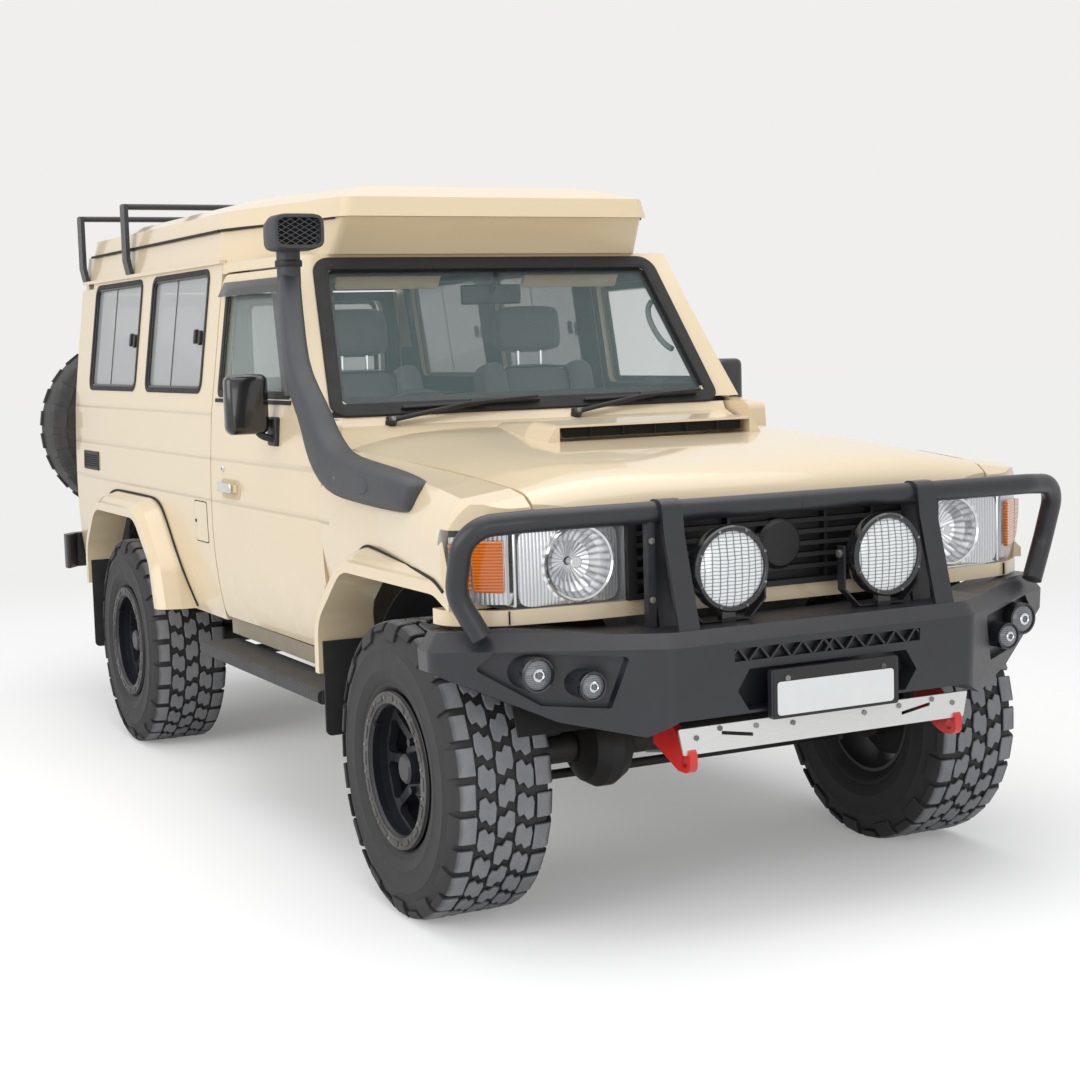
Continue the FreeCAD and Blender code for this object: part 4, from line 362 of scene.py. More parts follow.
def lamp_glass(name, colour):
    finish = Finish(name)
    edge = finish.add("ShaderNodeLayerWeight", values={"Blend": 0.35}, output="Facing")
    finish.surface(Base_Color=colour, Roughness=0.02, Alpha=(edge * 0.5 + 0.035).clamped(),
                   Specular_IOR_Level=0.8, Coat_Weight=1.0, Coat_Roughness=0.01)


glass("glass_smoked", rgb(112, 115, 118), 0.45)
glass("door_glass", rgb(172, 188, 182), 0.16)
glass("shield_smoke", rgb(52, 54, 56), 0.62)
two_glasses("fixed_glass")
lamp_glass("lamp_lens", rgb(238, 240, 242))
print("finishes", len(FINISHES))

# %% [markdown]
# The skid plate is brushed aluminium, whose roughness runs in fine streaks along it: the same noise
# as elsewhere, stretched 100 times. Gear cases, rims, springs and exhaust are pitted metal with
# brown grime.

# %% Metals
def brushed(name, colour, stretch):
    finish = Finish(name)
    streaks = finish.noise(60.0, 8.0, 0.7, stretch=stretch)
    base = finish.mix(finish.ramp(streaks, 0.3, 0.7), colour, rgb(232, 232, 230))
    finish.surface(Base_Color=base, Metallic=0.85, Roughness=finish.ramp(streaks, 0.3, 0.7, 0.32, 0.5),
                   Normal=finish.bump(streaks, 0.10, 0.0004))


def cast(name, colour, metallic=0.6):
    finish = Finish(name)
    grime = finish.ramp(finish.noise(6.0, 6.0, 0.65), 0.4, 0.7)
    pits = finish.bump(finish.noise(90.0, 6.0, 0.7), 0.35, 0.0012)
    finish.surface(Base_Color=finish.mix(grime * 0.7, colour, rgb(62, 55, 46)), Metallic=metallic,
                   Roughness=0.5 + grime * 0.3, Normal=pits)


brushed("brushed_plate", rgb(196, 197, 197), (0.4, 40, 40))
cast("cast_metal", rgb(112, 112, 110))
cast("frame_black", rgb(30, 30, 31), 0.1)
cast("exhaust_steel", rgb(140, 134, 126), 0.9)
cast("spring_steel", rgb(36, 36, 38), 0.2)
cast("rim_grey", rgb(96, 96, 95), 0.35)
cast("bolt_steel", rgb(150, 150, 148), 0.8)
print("finishes", len(FINISHES))

# %% [markdown]
# Small parts are plain: one colour with a hint of a lighter one, because a colour with no change at
# all looks like a drawing. The seats are woven cloth, whose threads are two waves that cross.

# %% Plain and woven finishes
THREADS = 1900.0


def plain(name, colour, roughness, metallic=0.0, coat=0.0, spread=0.5):
    finish = Finish(name)
    tone = finish.ramp(finish.noise(22.0, 4.0), 0.3, 0.7)
    lighter = tuple(min(1.0, c * 1.25 + 0.004) for c in colour[:3]) + (1.0,)
    finish.surface(Base_Color=finish.mix(tone * spread, colour, lighter), Metallic=metallic,
                   Roughness=roughness + (tone - 0.5) * 0.06, Coat_Weight=coat, Coat_Roughness=0.05)


def woven(name, colour, light):
    finish = Finish(name)
    x, y, z = finish.axes()
    threads = ((x + y) * THREADS).wave() * ((z + y * 0.5) * THREADS).wave()
    finish.surface(Base_Color=finish.mix(finish.ramp(threads, -1.0, 1.0, 0.3, 0.7), colour, light),
                   Roughness=0.88, Sheen_Weight=0.25, Normal=finish.bump(threads, 0.06, 0.0003))


plain("lamp_red", rgb(150, 22, 20), 0.12, coat=1.0)
plain("lamp_black", rgb(27, 28, 31), 0.20, coat=0.6)
plain("hook_red", rgb(205, 42, 38), 0.35, coat=0.4)
plain("floor_paint", rgb(150, 140, 122), 0.6)
plain("liner_black", rgb(20, 20, 20), 0.85)
# Near-black painted shade, laid over slots, holes and openings where only shade would show.
plain("painted_shade_black", rgb(7, 7, 7), 0.9)
plain("gap_black", rgb(26, 24, 22), 0.8)
plain("frit_black", rgb(22, 23, 25), 0.45)
plain("chrome", rgb(214, 216, 218), 0.09, metallic=1.0)
plain("mirror_glass", rgb(196, 202, 206), 0.02, metallic=1.0)
plain("plate_white", rgb(230, 231, 229), 0.35, coat=0.3, spread=0.1)
# A darker tan: the visors' own colour, and on the doors the painted shade of a finger recess.
plain("visor_tan_and_recess_shade", rgb(196, 176, 146), 0.5)
plain("seat_seam", rgb(64, 63, 64), 0.8)
plain("headliner_grey", rgb(120, 122, 120), 0.7)
woven("seat_fabric", rgb(92, 91, 92), rgb(128, 127, 127))
print("finishes", len(FINISHES))

# %% [markdown]
# Lamps show patterns: flutes in a reflector, ribs in an indicator, small blocks in a driving lamp's
# lens. Modelled, they would take thousands of faces. Here they're sums of simple waves over the
# object's own coordinates, which bend its normal and also paint light into its colour: the bright
# flutes and ribs are painted highlights, the dark ribs and the grooves between blocks painted shade.

# %% Lamp finishes
LAMP_X, LAMP_Y, LAMP_Z = 0.634, -2.356, 1.062
DRIVE_X, DRIVE_Y, DRIVE_Z = 0.262, -2.5345, 1.033


def fluted(name):
    """Bright reflector with a fan of flutes round each headlight's centre and ribs further out."""
    finish = Finish(name)
    x, _, z = finish.axes()
    across, up = x.abs() - LAMP_X, z - LAMP_Z
    near = (across * across + up * up) < 0.0128
    fan = (up.math("ARCTAN2", up, across) * 13.0).wave().abs() * near
    ribs = (across * 300.0).wave().abs() * (1 - near)
    flutes = fan + ribs * 0.6
    # Painted highlight and shade: the flutes and ribs are painted into the colour as bright and dark
    # stripes.
    tone = finish.mix(finish.ramp(flutes, 0.0, 1.0), rgb(168, 172, 176), rgb(252, 252, 254))
    finish.surface(Base_Color=tone, Metallic=0.72, Roughness=0.16 + flutes * 0.05, Coat_Weight=0.5,
                   Coat_Roughness=0.03, Normal=finish.bump(flutes, 0.3, 0.003))


def ribbed_lens(name, colour, dark, pitch):
    finish = Finish(name)
    ribs = (finish.axes()[2] * (math.tau / pitch)).wave()
    # Painted highlight and shade: each rib is painted as a light and a dark stripe across the lens.
    finish.surface(Base_Color=finish.mix(finish.ramp(ribs, -1.0, 1.0), dark, colour), Roughness=0.16,
                   Coat_Weight=1.0, Coat_Roughness=0.03, Normal=finish.bump(ribs, 0.4, 0.0012))


def block_lens(name):
    """A white lens moulded in small upright blocks, with painted shade in the grooves and at each
    block's edge.
    """
    finish = Finish(name)
    x, _, z = finish.axes()
    bent = finish.noise(26.0, 2.0, 0.5) * 0.006
    column = ((x.abs() - DRIVE_X + bent) / 0.0230).fract() - 0.5
    row = ((z - DRIVE_Z + bent) / 0.0100).fract() - 0.5
    shaded_grooves = (column.abs() > 0.43) + (row.abs() > 0.38) * 0.75
    dome = (column * column + row * row) * 1.6
    # Painted shade: the grooves between blocks and the edge of each block are painted darker.
    tone = finish.mix((shaded_grooves + dome * 0.25).clamped(), rgb(244, 246, 246), rgb(116, 121, 124))
    finish.surface(Base_Color=tone, Roughness=0.14, Coat_Weight=1.0, Coat_Roughness=0.02, Metallic=0.15,
                   Normal=finish.bump(dome - shaded_grooves, 0.35, 0.0015))


fluted("reflector")
block_lens("lamp_face")
ribbed_lens("amber", rgb(236, 128, 30), rgb(190, 84, 14), 0.0085)
ribbed_lens("amber_dim", rgb(214, 132, 62), rgb(160, 88, 34), 0.0140)
ribbed_lens("small_lens", rgb(116, 120, 125), rgb(84, 88, 93), 0.0060)
print("finishes", len(FINISHES))

# %% [markdown]
# The snorkel's mouth has a mesh of diamonds, cut out of a flat sheet by Alpha, and the side steps
# have a chequered tread. Both come from diagonal lines: of sums and of differences of two
# coordinates.

# %% Mesh and chequers
def diamond_mesh(name):
    finish = Finish(name)
    x, _, z = finish.axes()
    lines = [((slope / 0.0180).fract() - 0.5).abs() > 0.44 for slope in (x * 0.55 + z, x * 0.55 - z)]
    finish.surface(Base_Color=rgb(92, 94, 98), Roughness=0.4, Metallic=0.4,
                   Alpha=(lines[0] + lines[1]).clamped())


def chequered(name):
    finish = Finish(name)
    x, y, _ = finish.axes()
    crossed = ((x + y) * 110.0).wave() * ((x - y) * 110.0).wave()
    bars = finish.ramp(crossed.abs(), 0.45, 0.75)
    worn = finish.noise(12.0, 5.0, 0.6)
    tone = finish.mix(finish.ramp(worn, 0.35, 0.7), rgb(44, 45, 47), rgb(66, 66, 66))
    finish.surface(Base_Color=tone, Roughness=0.5 + worn * 0.15, Normal=finish.bump(bars, 0.7, 0.003))


diamond_mesh("diamond_mesh")
chequered("chequered")
print("finishes", len(FINISHES))

# %% [markdown]
# The record names a material slot for each part of the frame. Each part gets the finish of that
# name, and four parts get a more special one.

# %% Dress the frame
SPECIAL = {"fixed_glass": "fixed_glass", "side_steps": "chequered", "front_glass_right": "door_glass",
           "front_glass_left": "door_glass"}
for entry in frame["record"]["subparts"]:
    mesh = NODES[entry["node"]].data
    mesh.materials.clear()
    mesh.materials.append(FINISHES[SPECIAL.get(entry["node"], entry["material_slot"])])

# %% [markdown]
# The studio's floor runs to the horizon. It takes shadows as plain matt paint does. The camera,
# reflections and panes see it with a little glow added, so that it reads as white, and further out
# as an even backdrop that hides the horizon. What it sends on to the model as light is the plain
# paint alone.

# %% Studio floor
FLOOR_HALF = 60.0
BACKDROP_FROM, BACKDROP_FULL = 3.0, 8.0
SEEING_RAYS = ("Is Camera Ray", "Is Glossy Ray", "Is Transmission Ray")


def floor_finish():
    finish = Finish("studio_floor")
    camera_ray, glossy_ray, through_ray = [
        finish.add("ShaderNodeLightPath", output=ray) for ray in SEEING_RAYS]
    seen = camera_ray.greater_of(glossy_ray.greater_of(through_ray))
    paint = finish.add("ShaderNodeBsdfDiffuse", values={"Color": rgb(232, 231, 229), "Roughness": 0.6})
    glow = finish.add("ShaderNodeEmission", values={"Color": rgb(236, 235, 233), "Strength": 0.22})
    near = finish.add("ShaderNodeAddShader", values={0: paint, 1: glow})
    x, y, _ = finish.axes()
    share = finish.ramp((x * x + y * y) ** 0.5, BACKDROP_FROM, BACKDROP_FULL)
    backdrop = finish.add("ShaderNodeEmission", values={"Color": rgb(239, 239, 237), "Strength": 1.0})
    shown = finish.add("ShaderNodeMixShader", values={0: share, 1: near, 2: backdrop})
    finish.add_output(finish.add("ShaderNodeMixShader", values={0: seen, 1: paint, 2: shown}))
    return finish.material


ground = bmesh.new()
bmesh.ops.create_grid(ground, x_segments=1, y_segments=1, size=FLOOR_HALF)
mesh = bpy.data.meshes.new("studio_floor")
ground.to_mesh(mesh)
ground.free()
mesh.materials.append(floor_finish())
floor = bpy.data.objects.new("studio_floor", mesh)
bpy.context.scene.collection.objects.link(floor)
print("floor", 2 * FLOOR_HALF, "m wide")

# %% [markdown]
# The world is pale where it's seen, in reflections and through glass too, and dimmer and a little
# cooler as a fill light. Three broad soft lamps give the object its shape: one above, one at its
# right side and a weak one low in front. They stay plain, so that every colour renders about as it
# is written.

# %% World and lamps
FILL_STRENGTH = 0.68

world = bpy.data.worlds.new("studio")
bpy.context.scene.world = world
world.use_nodes = True
tree = world.node_tree
tree.nodes.clear()
path = tree.nodes.new("ShaderNodeLightPath")
seen = path.outputs[SEEING_RAYS[0]]
for ray in SEEING_RAYS[1:]:
    either = tree.nodes.new("ShaderNodeMath")
    either.operation = "MAXIMUM"
    tree.links.new(seen, either.inputs[0])
    tree.links.new(path.outputs[ray], either.inputs[1])
    seen = either.outputs[0]
mix = tree.nodes.new("ShaderNodeMixShader")
tree.links.new(seen, mix.inputs[0])
for socket, colour, strength in ((1, rgb(236, 240, 246), FILL_STRENGTH), (2, rgb(240, 239, 237), 1.0)):
    light = tree.nodes.new("ShaderNodeBackground")
    light.inputs["Color"].default_value = colour
    light.inputs["Strength"].default_value = strength
    tree.links.new(light.outputs[0], mix.inputs[socket])
tree.links.new(mix.outputs[0], tree.nodes.new("ShaderNodeOutputWorld").inputs["Surface"])

for name, place, target, size, watts in (
        ("ceiling_light", (0.0, -1.0, 7.0), (0, 0, 0), (8.0, 9.0), 350),
        ("side_light", (-8.5, -2.0, 3.8), (0, 0, 1.0), (8.0, 4.5), 295),
        ("front_light", (-1.5, -9.5, 1.5), (0, -1.0, 1.3), (6.0, 2.4), 80)):
    data = bpy.data.lights.new(name, "AREA")
    data.shape = "RECTANGLE"
    data.size, data.size_y = size
    data.energy = watts
    lamp = bpy.data.objects.new(name, data)
    lamp.location = place
    lamp.rotation_euler = (Vector(target) - Vector(place)).to_track_quat("-Z", "Y").to_euler()
    bpy.context.scene.collection.objects.link(lamp)
    print(name, watts, "W")
bpy.context.scene.view_settings.view_transform = "Standard"

# %% [markdown]
# The rest of the lesson models what the frame leaves out. Every small form starts from a bmesh
# operator: a cube, a cone, a spun profile or one flat outline that is extruded. A bevel is what
# makes an edge look real, because it catches the light, so each helper can round its edges.


# %% Solid forms
def soften(part, edges, width, segments=2):
    if width > 0:
        bmesh.ops.bevel(part, geom=list(edges), offset=width, affect="EDGES", segments=segments,
                        profile=0.5, material=-1)


def sharp_edges(part, degrees=40):
    steep = math.radians(degrees)
    return [edge for edge in part.edges if len(edge.link_faces) == 2 and edge.calc_face_angle() > steep]


def block(size, bevel=0.0, segments=2):
    part = bmesh.new()
    bmesh.ops.create_cube(part, size=1.0, matrix=Matrix.Diagonal((*size, 1.0)))
    soften(part, part.edges, bevel, segments)
    return part


def drum(radius, depth, steps, bevel=0.0, top=None):
    """A cylinder or cone along Z, centred on its place."""
    part = bmesh.new()
    bmesh.ops.create_cone(part, cap_ends=True, segments=steps, radius1=radius,
                          radius2=radius if top is None else top, depth=depth)
    soften(part, sharp_edges(part), bevel)
    return part


def bolt_head(radius, height=0.006, bevel=0.001):
    return drum(radius, height, 6, bevel)


def lathe(profile, steps):
    """Spin (radius, height) points about Z."""
    part = bmesh.new()
    verts = [part.verts.new((radius, 0, height)) for radius, height in profile]
    edges = [part.edges.new(pair) for pair in zip(verts, verts[1:])]
    bmesh.ops.spin(part, geom=verts + edges, axis=(0, 0, 1), cent=(0, 0, 0), angle=math.tau, steps=steps,
                   use_merge=True)
    bmesh.ops.remove_doubles(part, verts=part.verts, dist=1e-5)
    bmesh.ops.recalc_face_normals(part, faces=part.faces)
    return part


# %% [markdown]
# Plates, frames and seals start as one flat face. Its corners are rounded first, then an inset can
# turn it into a ring, and the extrusion gives it its depth.


# %% Flat forms
def plate(points, depth, corner=0.0, bevel=0.0, rounds=4, ring=0.0, cuts=0):
    """A flat outline with rounded corners, extruded along Z; with ring, only a frame of that width."""
    part = bmesh.new()
    face = part.faces.new([part.verts.new((u, v, 0)) for u, v in points])
    if corner > 0:
        bmesh.ops.bevel(part, geom=list(part.verts), offset=corner, affect="VERTICES",
                        segments=rounds, profile=0.5, material=-1)
        face = list(part.faces)[0]
    if cuts:
        long_edges = [edge for edge in part.edges if edge.calc_length() > 0.1]
        bmesh.ops.subdivide_edges(part, edges=long_edges, cuts=cuts)
        face = list(part.faces)[0]
    if ring:
        bmesh.ops.inset_individual(part, faces=[face], thickness=ring, use_even_offset=True)
        bmesh.ops.delete(part, geom=[face], context="FACES")
    raised = bmesh.ops.extrude_face_region(part, geom=list(part.faces))
    verts = [item for item in raised["geom"] if isinstance(item, bmesh.types.BMVert)]
    bmesh.ops.translate(part, vec=(0, 0, depth), verts=verts)
    bmesh.ops.recalc_face_normals(part, faces=part.faces)
    soften(part, sharp_edges(part, 50), bevel, 1)
    return part


def oblong(left, right, low, high, grow=0.0):
    left, right, low, high = left - grow, right + grow, low - grow, high + grow
    return [(left, low), (right, low), (right, high), (left, high)]


# %% [markdown]
# Rods and seal lines are curves with a round section, made into a mesh at once. Blown and moulded
# forms are skins: rounded sections stand along a path, and the bridge operator joins each to the
# next.


# %% Bent forms
def pipe(points, radius, order=3):
    """A round bar along a smooth line through or near the points."""
    curve = bpy.data.curves.new("path", "CURVE")
    curve.dimensions = "3D"
    spline = curve.splines.new("NURBS")
    spline.points.add(len(points) - 1)
    for point, place in zip(spline.points, points):
        point.co = (*place, 1.0)
    spline.order_u = order
    spline.use_endpoint_u = True
    curve.resolution_u = 6
    curve.bevel_depth = radius
    curve.bevel_resolution = 3
    curve.use_fill_caps = True
    holder = bpy.data.objects.new("path", curve)
    mesh = bpy.data.meshes.new_from_object(holder)
    part = bmesh.new()
    part.from_mesh(mesh)
    bpy.data.objects.remove(holder)
    bpy.data.curves.remove(curve)
    bpy.data.meshes.remove(mesh)
    return part


def skin(rings, steps, caps=True):
    """Bridge sections; each is a placing with its half sizes and a power, 1 round, 0.3 nearly square."""
    part = bmesh.new()
    loops = []
    for matrix, square in rings:
        made = bmesh.ops.create_circle(part, cap_ends=False, segments=steps, radius=1.0)["verts"]
        for vert in made:
            vert.co = Vector([math.copysign(abs(round(c, 6)) ** square, c) for c in vert.co])
        bmesh.ops.transform(part, matrix=matrix, verts=made)
        loops.append(list({edge for vert in made for edge in vert.link_edges}))
    for first, second in zip(loops, loops[1:]):
        bmesh.ops.bridge_loops(part, edges=first + second)
    if caps:
        for loop in (loops[0], loops[-1]):
            bmesh.ops.contextual_create(part, geom=loop)
    bmesh.ops.recalc_face_normals(part, faces=part.faces)
    return part


# %% [markdown]
# A form is made at the origin and then placed. The wagon is the same on both sides, apart from a
# few fittings, so a placing is written for the left side and mirrored for the right one. Mirroring
# turns faces inside out, and stamp() turns them back.

# %% Placings
MIRROR = Matrix.Diagonal((-1.0, 1.0, 1.0, 1.0))
FORWARDS, BACKWARDS = 1, -1


def oriented(place, x_axis, y_axis):
    """A placing from a point and the directions of the first two axes."""
    x_axis = Vector(x_axis).normalized()
    z_axis = x_axis.cross(Vector(y_axis)).normalized()
    y_axis = z_axis.cross(x_axis)
    return Matrix.Translation(place) @ Matrix((x_axis, y_axis, z_axis)).transposed().to_4x4()


def upright(place, facing=FORWARDS):
    """A placing that stands a flat form up and lets its top face forwards or backwards."""
    return oriented(place, (facing, 0, 0), (0, 0, 1))


def along(axis, place=(0, 0, 0)):
    """A placing that turns Z to the axis named."""
    degrees, pivot = {"x": (90, "Y"), "-x": (-90, "Y"), "y": (-90, "X"), "-y": (90, "X")}[axis]
    return Matrix.Translation(place) @ turned(degrees, pivot)


def sided(side, matrix=None):
    """The same placing on the left, or its mirror image on the right."""
    matrix = matrix or Matrix.Identity(4)
    return matrix if side > 0 else MIRROR @ matrix


def stamp(whole, part, *places):
    """Join a form to a larger one, once for each placing, or once as it lies."""
    for place in places or (Matrix.Identity(4),):
        one = part.copy()
        bmesh.ops.transform(one, matrix=place, verts=one.verts)
        if place.determinant() < 0:
            bmesh.ops.reverse_faces(one, faces=one.faces)
        mesh = bpy.data.meshes.new("part")
        one.to_mesh(mesh)
        one.free()
        whole.from_mesh(mesh)
        bpy.data.meshes.remove(mesh)
    part.free()


# %% [markdown]
# A Piece gathers forms, each with its finish, and then joins the body of the wagon that it rides
# on, so that a handle swings with its door and a tyre turns with its wheel.


# %% Pieces
class Piece:
    """A mesh object in the making; done() shades it, puts it in the scene and hangs it on its body."""

    def __init__(self, name, body="body"):
        self.name = name
        self.body = body
        self.bm = bmesh.new()
        self.finishes = []

    def add(self, part, finish, *places):
        """Join a form once for each placing, or once as it lies."""
        if finish not in self.finishes:
            self.finishes.append(finish)
        for face in part.faces:
            face.material_index = self.finishes.index(finish)
        stamp(self.bm, part, *places)

    def done(self, slot, *replaced, sharp=32.0, levels=0):
        for face in self.bm.faces:
            face.smooth = True
        for edge in self.bm.edges:
            edge.smooth = len(edge.link_faces) == 2 and edge.calc_face_angle() < math.radians(sharp)
        mesh = bpy.data.meshes.new(self.name)
        self.bm.to_mesh(mesh)
        self.bm.free()
        for finish in self.finishes:
            mesh.materials.append(FINISHES[finish])
        piece = bpy.data.objects.new(self.name, mesh)
        bpy.context.scene.collection.objects.link(piece)
        if levels:
            rounding = piece.modifiers.new("rounding", "SUBSURF")
            rounding.levels = levels
            rounding.render_levels = levels
        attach(piece, self.body)
        if replaced:
            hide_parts(*replaced)
        print(self.name, len(mesh.polygons), "faces")
        return piece


# %% [markdown]
# Details on the body's sides have to lie on its curved skin. A form is first laid out flat, with
# its length along the wagon, its height as the real height and its depth outwards; drape() then
# bends it onto the skin that the frame's body has, by the same widths at the same levels.

# %% The body's skin
DOOR_FRONT_Y, DOOR_REAR_Y = -1.0455, 0.0925
LEVELS = (0.640, 0.800, 1.120, 1.425)
HALVES = (0.842, 0.870, 0.885, 0.870)
HALF_TOP, GUTTER_Z = 0.797, 1.985


def side_x(y, z):
    """Half width of the body's skin: a curve through four levels, and above the belt a straight lean."""
    share = max(0.0, min(1.2, (DOOR_REAR_Y - y) / (DOOR_REAR_Y - DOOR_FRONT_Y)))
    low, high = 0.012 * share, 0.082 * share
    if z > LEVELS[3]:
        lean = (HALF_TOP - high - HALVES[3] + low) / (GUTTER_Z - LEVELS[3])
        return HALVES[3] - low + lean * (z - LEVELS[3])
    total = 0.0
    for level, half in zip(LEVELS, HALVES):
        others = [other for other in LEVELS if other != level]
        total += half * math.prod((z - other) / (level - other) for other in others)
    return total - low


def drape(part, side):
    """Bend a form laid out as (along, height, outwards) onto the body's skin on one side."""
    for vert in part.verts:
        y, z, out = vert.co
        vert.co = (side * (side_x(y, z) + out), y, z)
    bmesh.ops.recalc_face_normals(part, faces=part.faces)
    return part


def laid(points, depth, out, side, corner=0.0, bevel=0.001, ring=0.0, cuts=0):
    """A flat form on the body's side, with its points given as (along, height)."""
    part = plate(points, depth, corner, bevel, ring=ring, cuts=cuts)
    bmesh.ops.translate(part, vec=(0, 0, out), verts=part.verts)
    return drape(part, side)


print("half width at the belt", round(side_x(DOOR_REAR_Y, LEVELS[3]), 3), "m")

# %% [markdown]
# The tyres are all-terrain ones. A plain carcass is spun, and five rows of tread blocks are stamped
# round it: long and short shoulder blocks that run down the sidewalls, and three rows of
# interlocking bone-shaped blocks. A block is only a beveled plate, because there are hundreds of
# them.

# %% Tyre form
SHOULDER_BLOCKS = 28
CENTRE_BLOCKS = 30
TREAD_DEPTH, TREAD_FOOT = 0.0118, 0.4226
CARCASS = [(0.2160, 0.1145), (0.2380, 0.1365), (0.2480, 0.1440), (0.2560, 0.1450), (0.2600, 0.1490),
           (0.2880, 0.1555), (0.2920, 0.1575), (0.2960, 0.1560), (0.3220, 0.1590), (0.3500, 0.1575),
           (0.3540, 0.1590), (0.3580, 0.1565), (0.3780, 0.1510), (0.3980, 0.1440), (0.4120, 0.1370),
           (0.4195, 0.1280), (0.4235, 0.1120), (0.4235, 0.0300)]
LONG_SIDE = [(0.0900, 0.4225), (0.0900, 0.4348), (0.1270, 0.4330), (0.1385, 0.4290), (0.1480, 0.4160),
             (0.1545, 0.4000), (0.1580, 0.3820), (0.1500, 0.3800), (0.1300, 0.4150)]
SHORT_SIDE = [(0.0940, 0.4225), (0.0940, 0.4348), (0.1270, 0.4330), (0.1385, 0.4290), (0.1480, 0.4160),
              (0.1510, 0.4080), (0.1420, 0.4060), (0.1300, 0.4180)]
BONE = [(-0.024, -0.033), (-0.006, -0.041), (0.005, -0.022), (0.020, -0.028), (0.0265, -0.008),
        (0.024, 0.033), (0.006, 0.041), (-0.005, 0.022), (-0.020, 0.028), (-0.0265, 0.008)]


def around_x(count, shift=0.0):
    return [Matrix.Rotation(math.tau * (i + shift) / count, 4, "X") for i in range(count)]


def tyre_form():
    """A tyre about X, as wide and as high as the frame's own."""
    whole = bmesh.new()
    stamp(whole, lathe(CARCASS + [(r, -h) for r, h in reversed(CARCASS)], 84), along("x"))
    for points, width, shift in ((LONG_SIDE, 0.078, 0.0), (SHORT_SIDE, 0.070, 0.5)):
        stand = oriented((0, width / 2, 0), (1, 0, 0), (0, 0, 1))
        for mirror, stagger in ((Matrix.Identity(4), 0.0), (MIRROR, 0.25)):
            stamp(whole, plate(points, width, bevel=0.0022),
                  *[turn @ mirror @ stand for turn in around_x(SHOULDER_BLOCKS // 2, shift + stagger)])
    for row, flip, shift in ((-0.058, 1, 0.0), (0.0, -1, 0.5), (0.058, 1, 0.0)):
        bone = plate([(u * flip, v) for u, v in BONE], TREAD_DEPTH, bevel=0.0016)
        stamp(whole, bone, *[turn @ at(row, 0, TREAD_FOOT) for turn in around_x(CENTRE_BLOCKS, shift)])
    return whole


TYRE = tyre_form()
print("tyre", len(TYRE.faces), "faces")

# %% [markdown]
# The same tyre goes onto all four wheels. The rims get what a bead-lock wheel shows: a grey clamp
# ring with pads and bolts round it, and a valve.

# %% Tyres and rims
RIM_RING = [(0.1962, 0.1445), (0.1962, 0.1525), (0.2000, 0.1545), (0.2262, 0.1545), (0.2300, 0.1525),
            (0.2300, 0.1445)]
PAD = [(-0.021, -0.008), (0.021, -0.008), (0.018, 0.008), (-0.018, 0.008)]
RING_BOLTS, BOLT_CIRCLE = 16, 0.2128
for end, track, axle in (("front", 1.650, AXLE_FRONT), ("rear", 1.600, AXLE_REAR)):
    for name, side in SIDES.items():
        place = sided(side, at(track / 2, axle, AXLE_Z))
        tread = Piece(f"tread_{end}_{name}", f"wheel_{end}_{name}")
        tread.add(TYRE.copy(), "tread_rubber", place)
        tread.done("tyre_rubber", f"tyre_{end}_{name}")
        ring = Piece(f"rim_ring_{end}_{name}", f"wheel_{end}_{name}")
        ring.add(lathe(RIM_RING, 64), "rim_grey", place @ along("x"))
        flat = oriented((0.1540, 0, BOLT_CIRCLE), (0, 1, 0), (0, 0, 1))
        ring.add(plate(PAD, 0.004, corner=0.003, bevel=0.001), "rim_grey",
                 *[place @ turn @ flat for turn in around_x(RING_BOLTS)])
        ring.add(bolt_head(0.0052, bevel=0.0006), "bolt_steel",
                 *[place @ turn @ along("x", (0.1560, 0, BOLT_CIRCLE))
                   for turn in around_x(RING_BOLTS, 0.5)])
        valve = place @ along("x", (0.135, 0.150, 0.110))
        ring.add(drum(0.004, 0.03, 10, 0.001), "black_plastic", valve)
        ring.done("bar_black")
TYRE.free()

# %% [markdown]
# Inside each wheel opening a black liner hides the back of the wing. It is a sheet spun about the
# axle, which the Solidify operator then gives its wall.


# %% Arch liners
def liner(y, radius, inner, outer, start, sweep):
    centre = (0, y, AXLE_Z)
    part = bmesh.new()
    verts = [part.verts.new((x, y, AXLE_Z + radius)) for x in (inner, outer)]
    edge = part.edges.new(verts)
    bmesh.ops.rotate(part, verts=verts, cent=centre, matrix=turned(start, "X").to_3x3())
    bmesh.ops.spin(part, geom=verts + [edge], axis=(1, 0, 0), cent=centre, angle=math.radians(sweep),
                   steps=28)
    bmesh.ops.solidify(part, geom=list(part.faces), thickness=0.004)
    return part


LINER_OUTER_X, LINER_START, LINER_SWEEP = 0.830, -78, 150
for name, side in SIDES.items():
    for end, axle, inner, radius in (("front", AXLE_FRONT, 0.46, 0.545),
                                     ("rear", AXLE_REAR, 0.60, 0.535)):
        lining = Piece(f"arch_liner_{end}_{name}")
        sheet = liner(axle, radius, inner, LINER_OUTER_X, LINER_START, LINER_SWEEP)
        lining.add(sheet, "liner_black", sided(side))
        lining.done("flap_rubber")

# %% [markdown]
# The headlights keep the frame's own block as their clear lens. Inside it stand a fluted reflector
# bowl with its bulb, a bright surround and, round the corner, an amber indicator. The surround is a
# skin from the round rim of the bowl to the nearly square outline of the lamp.

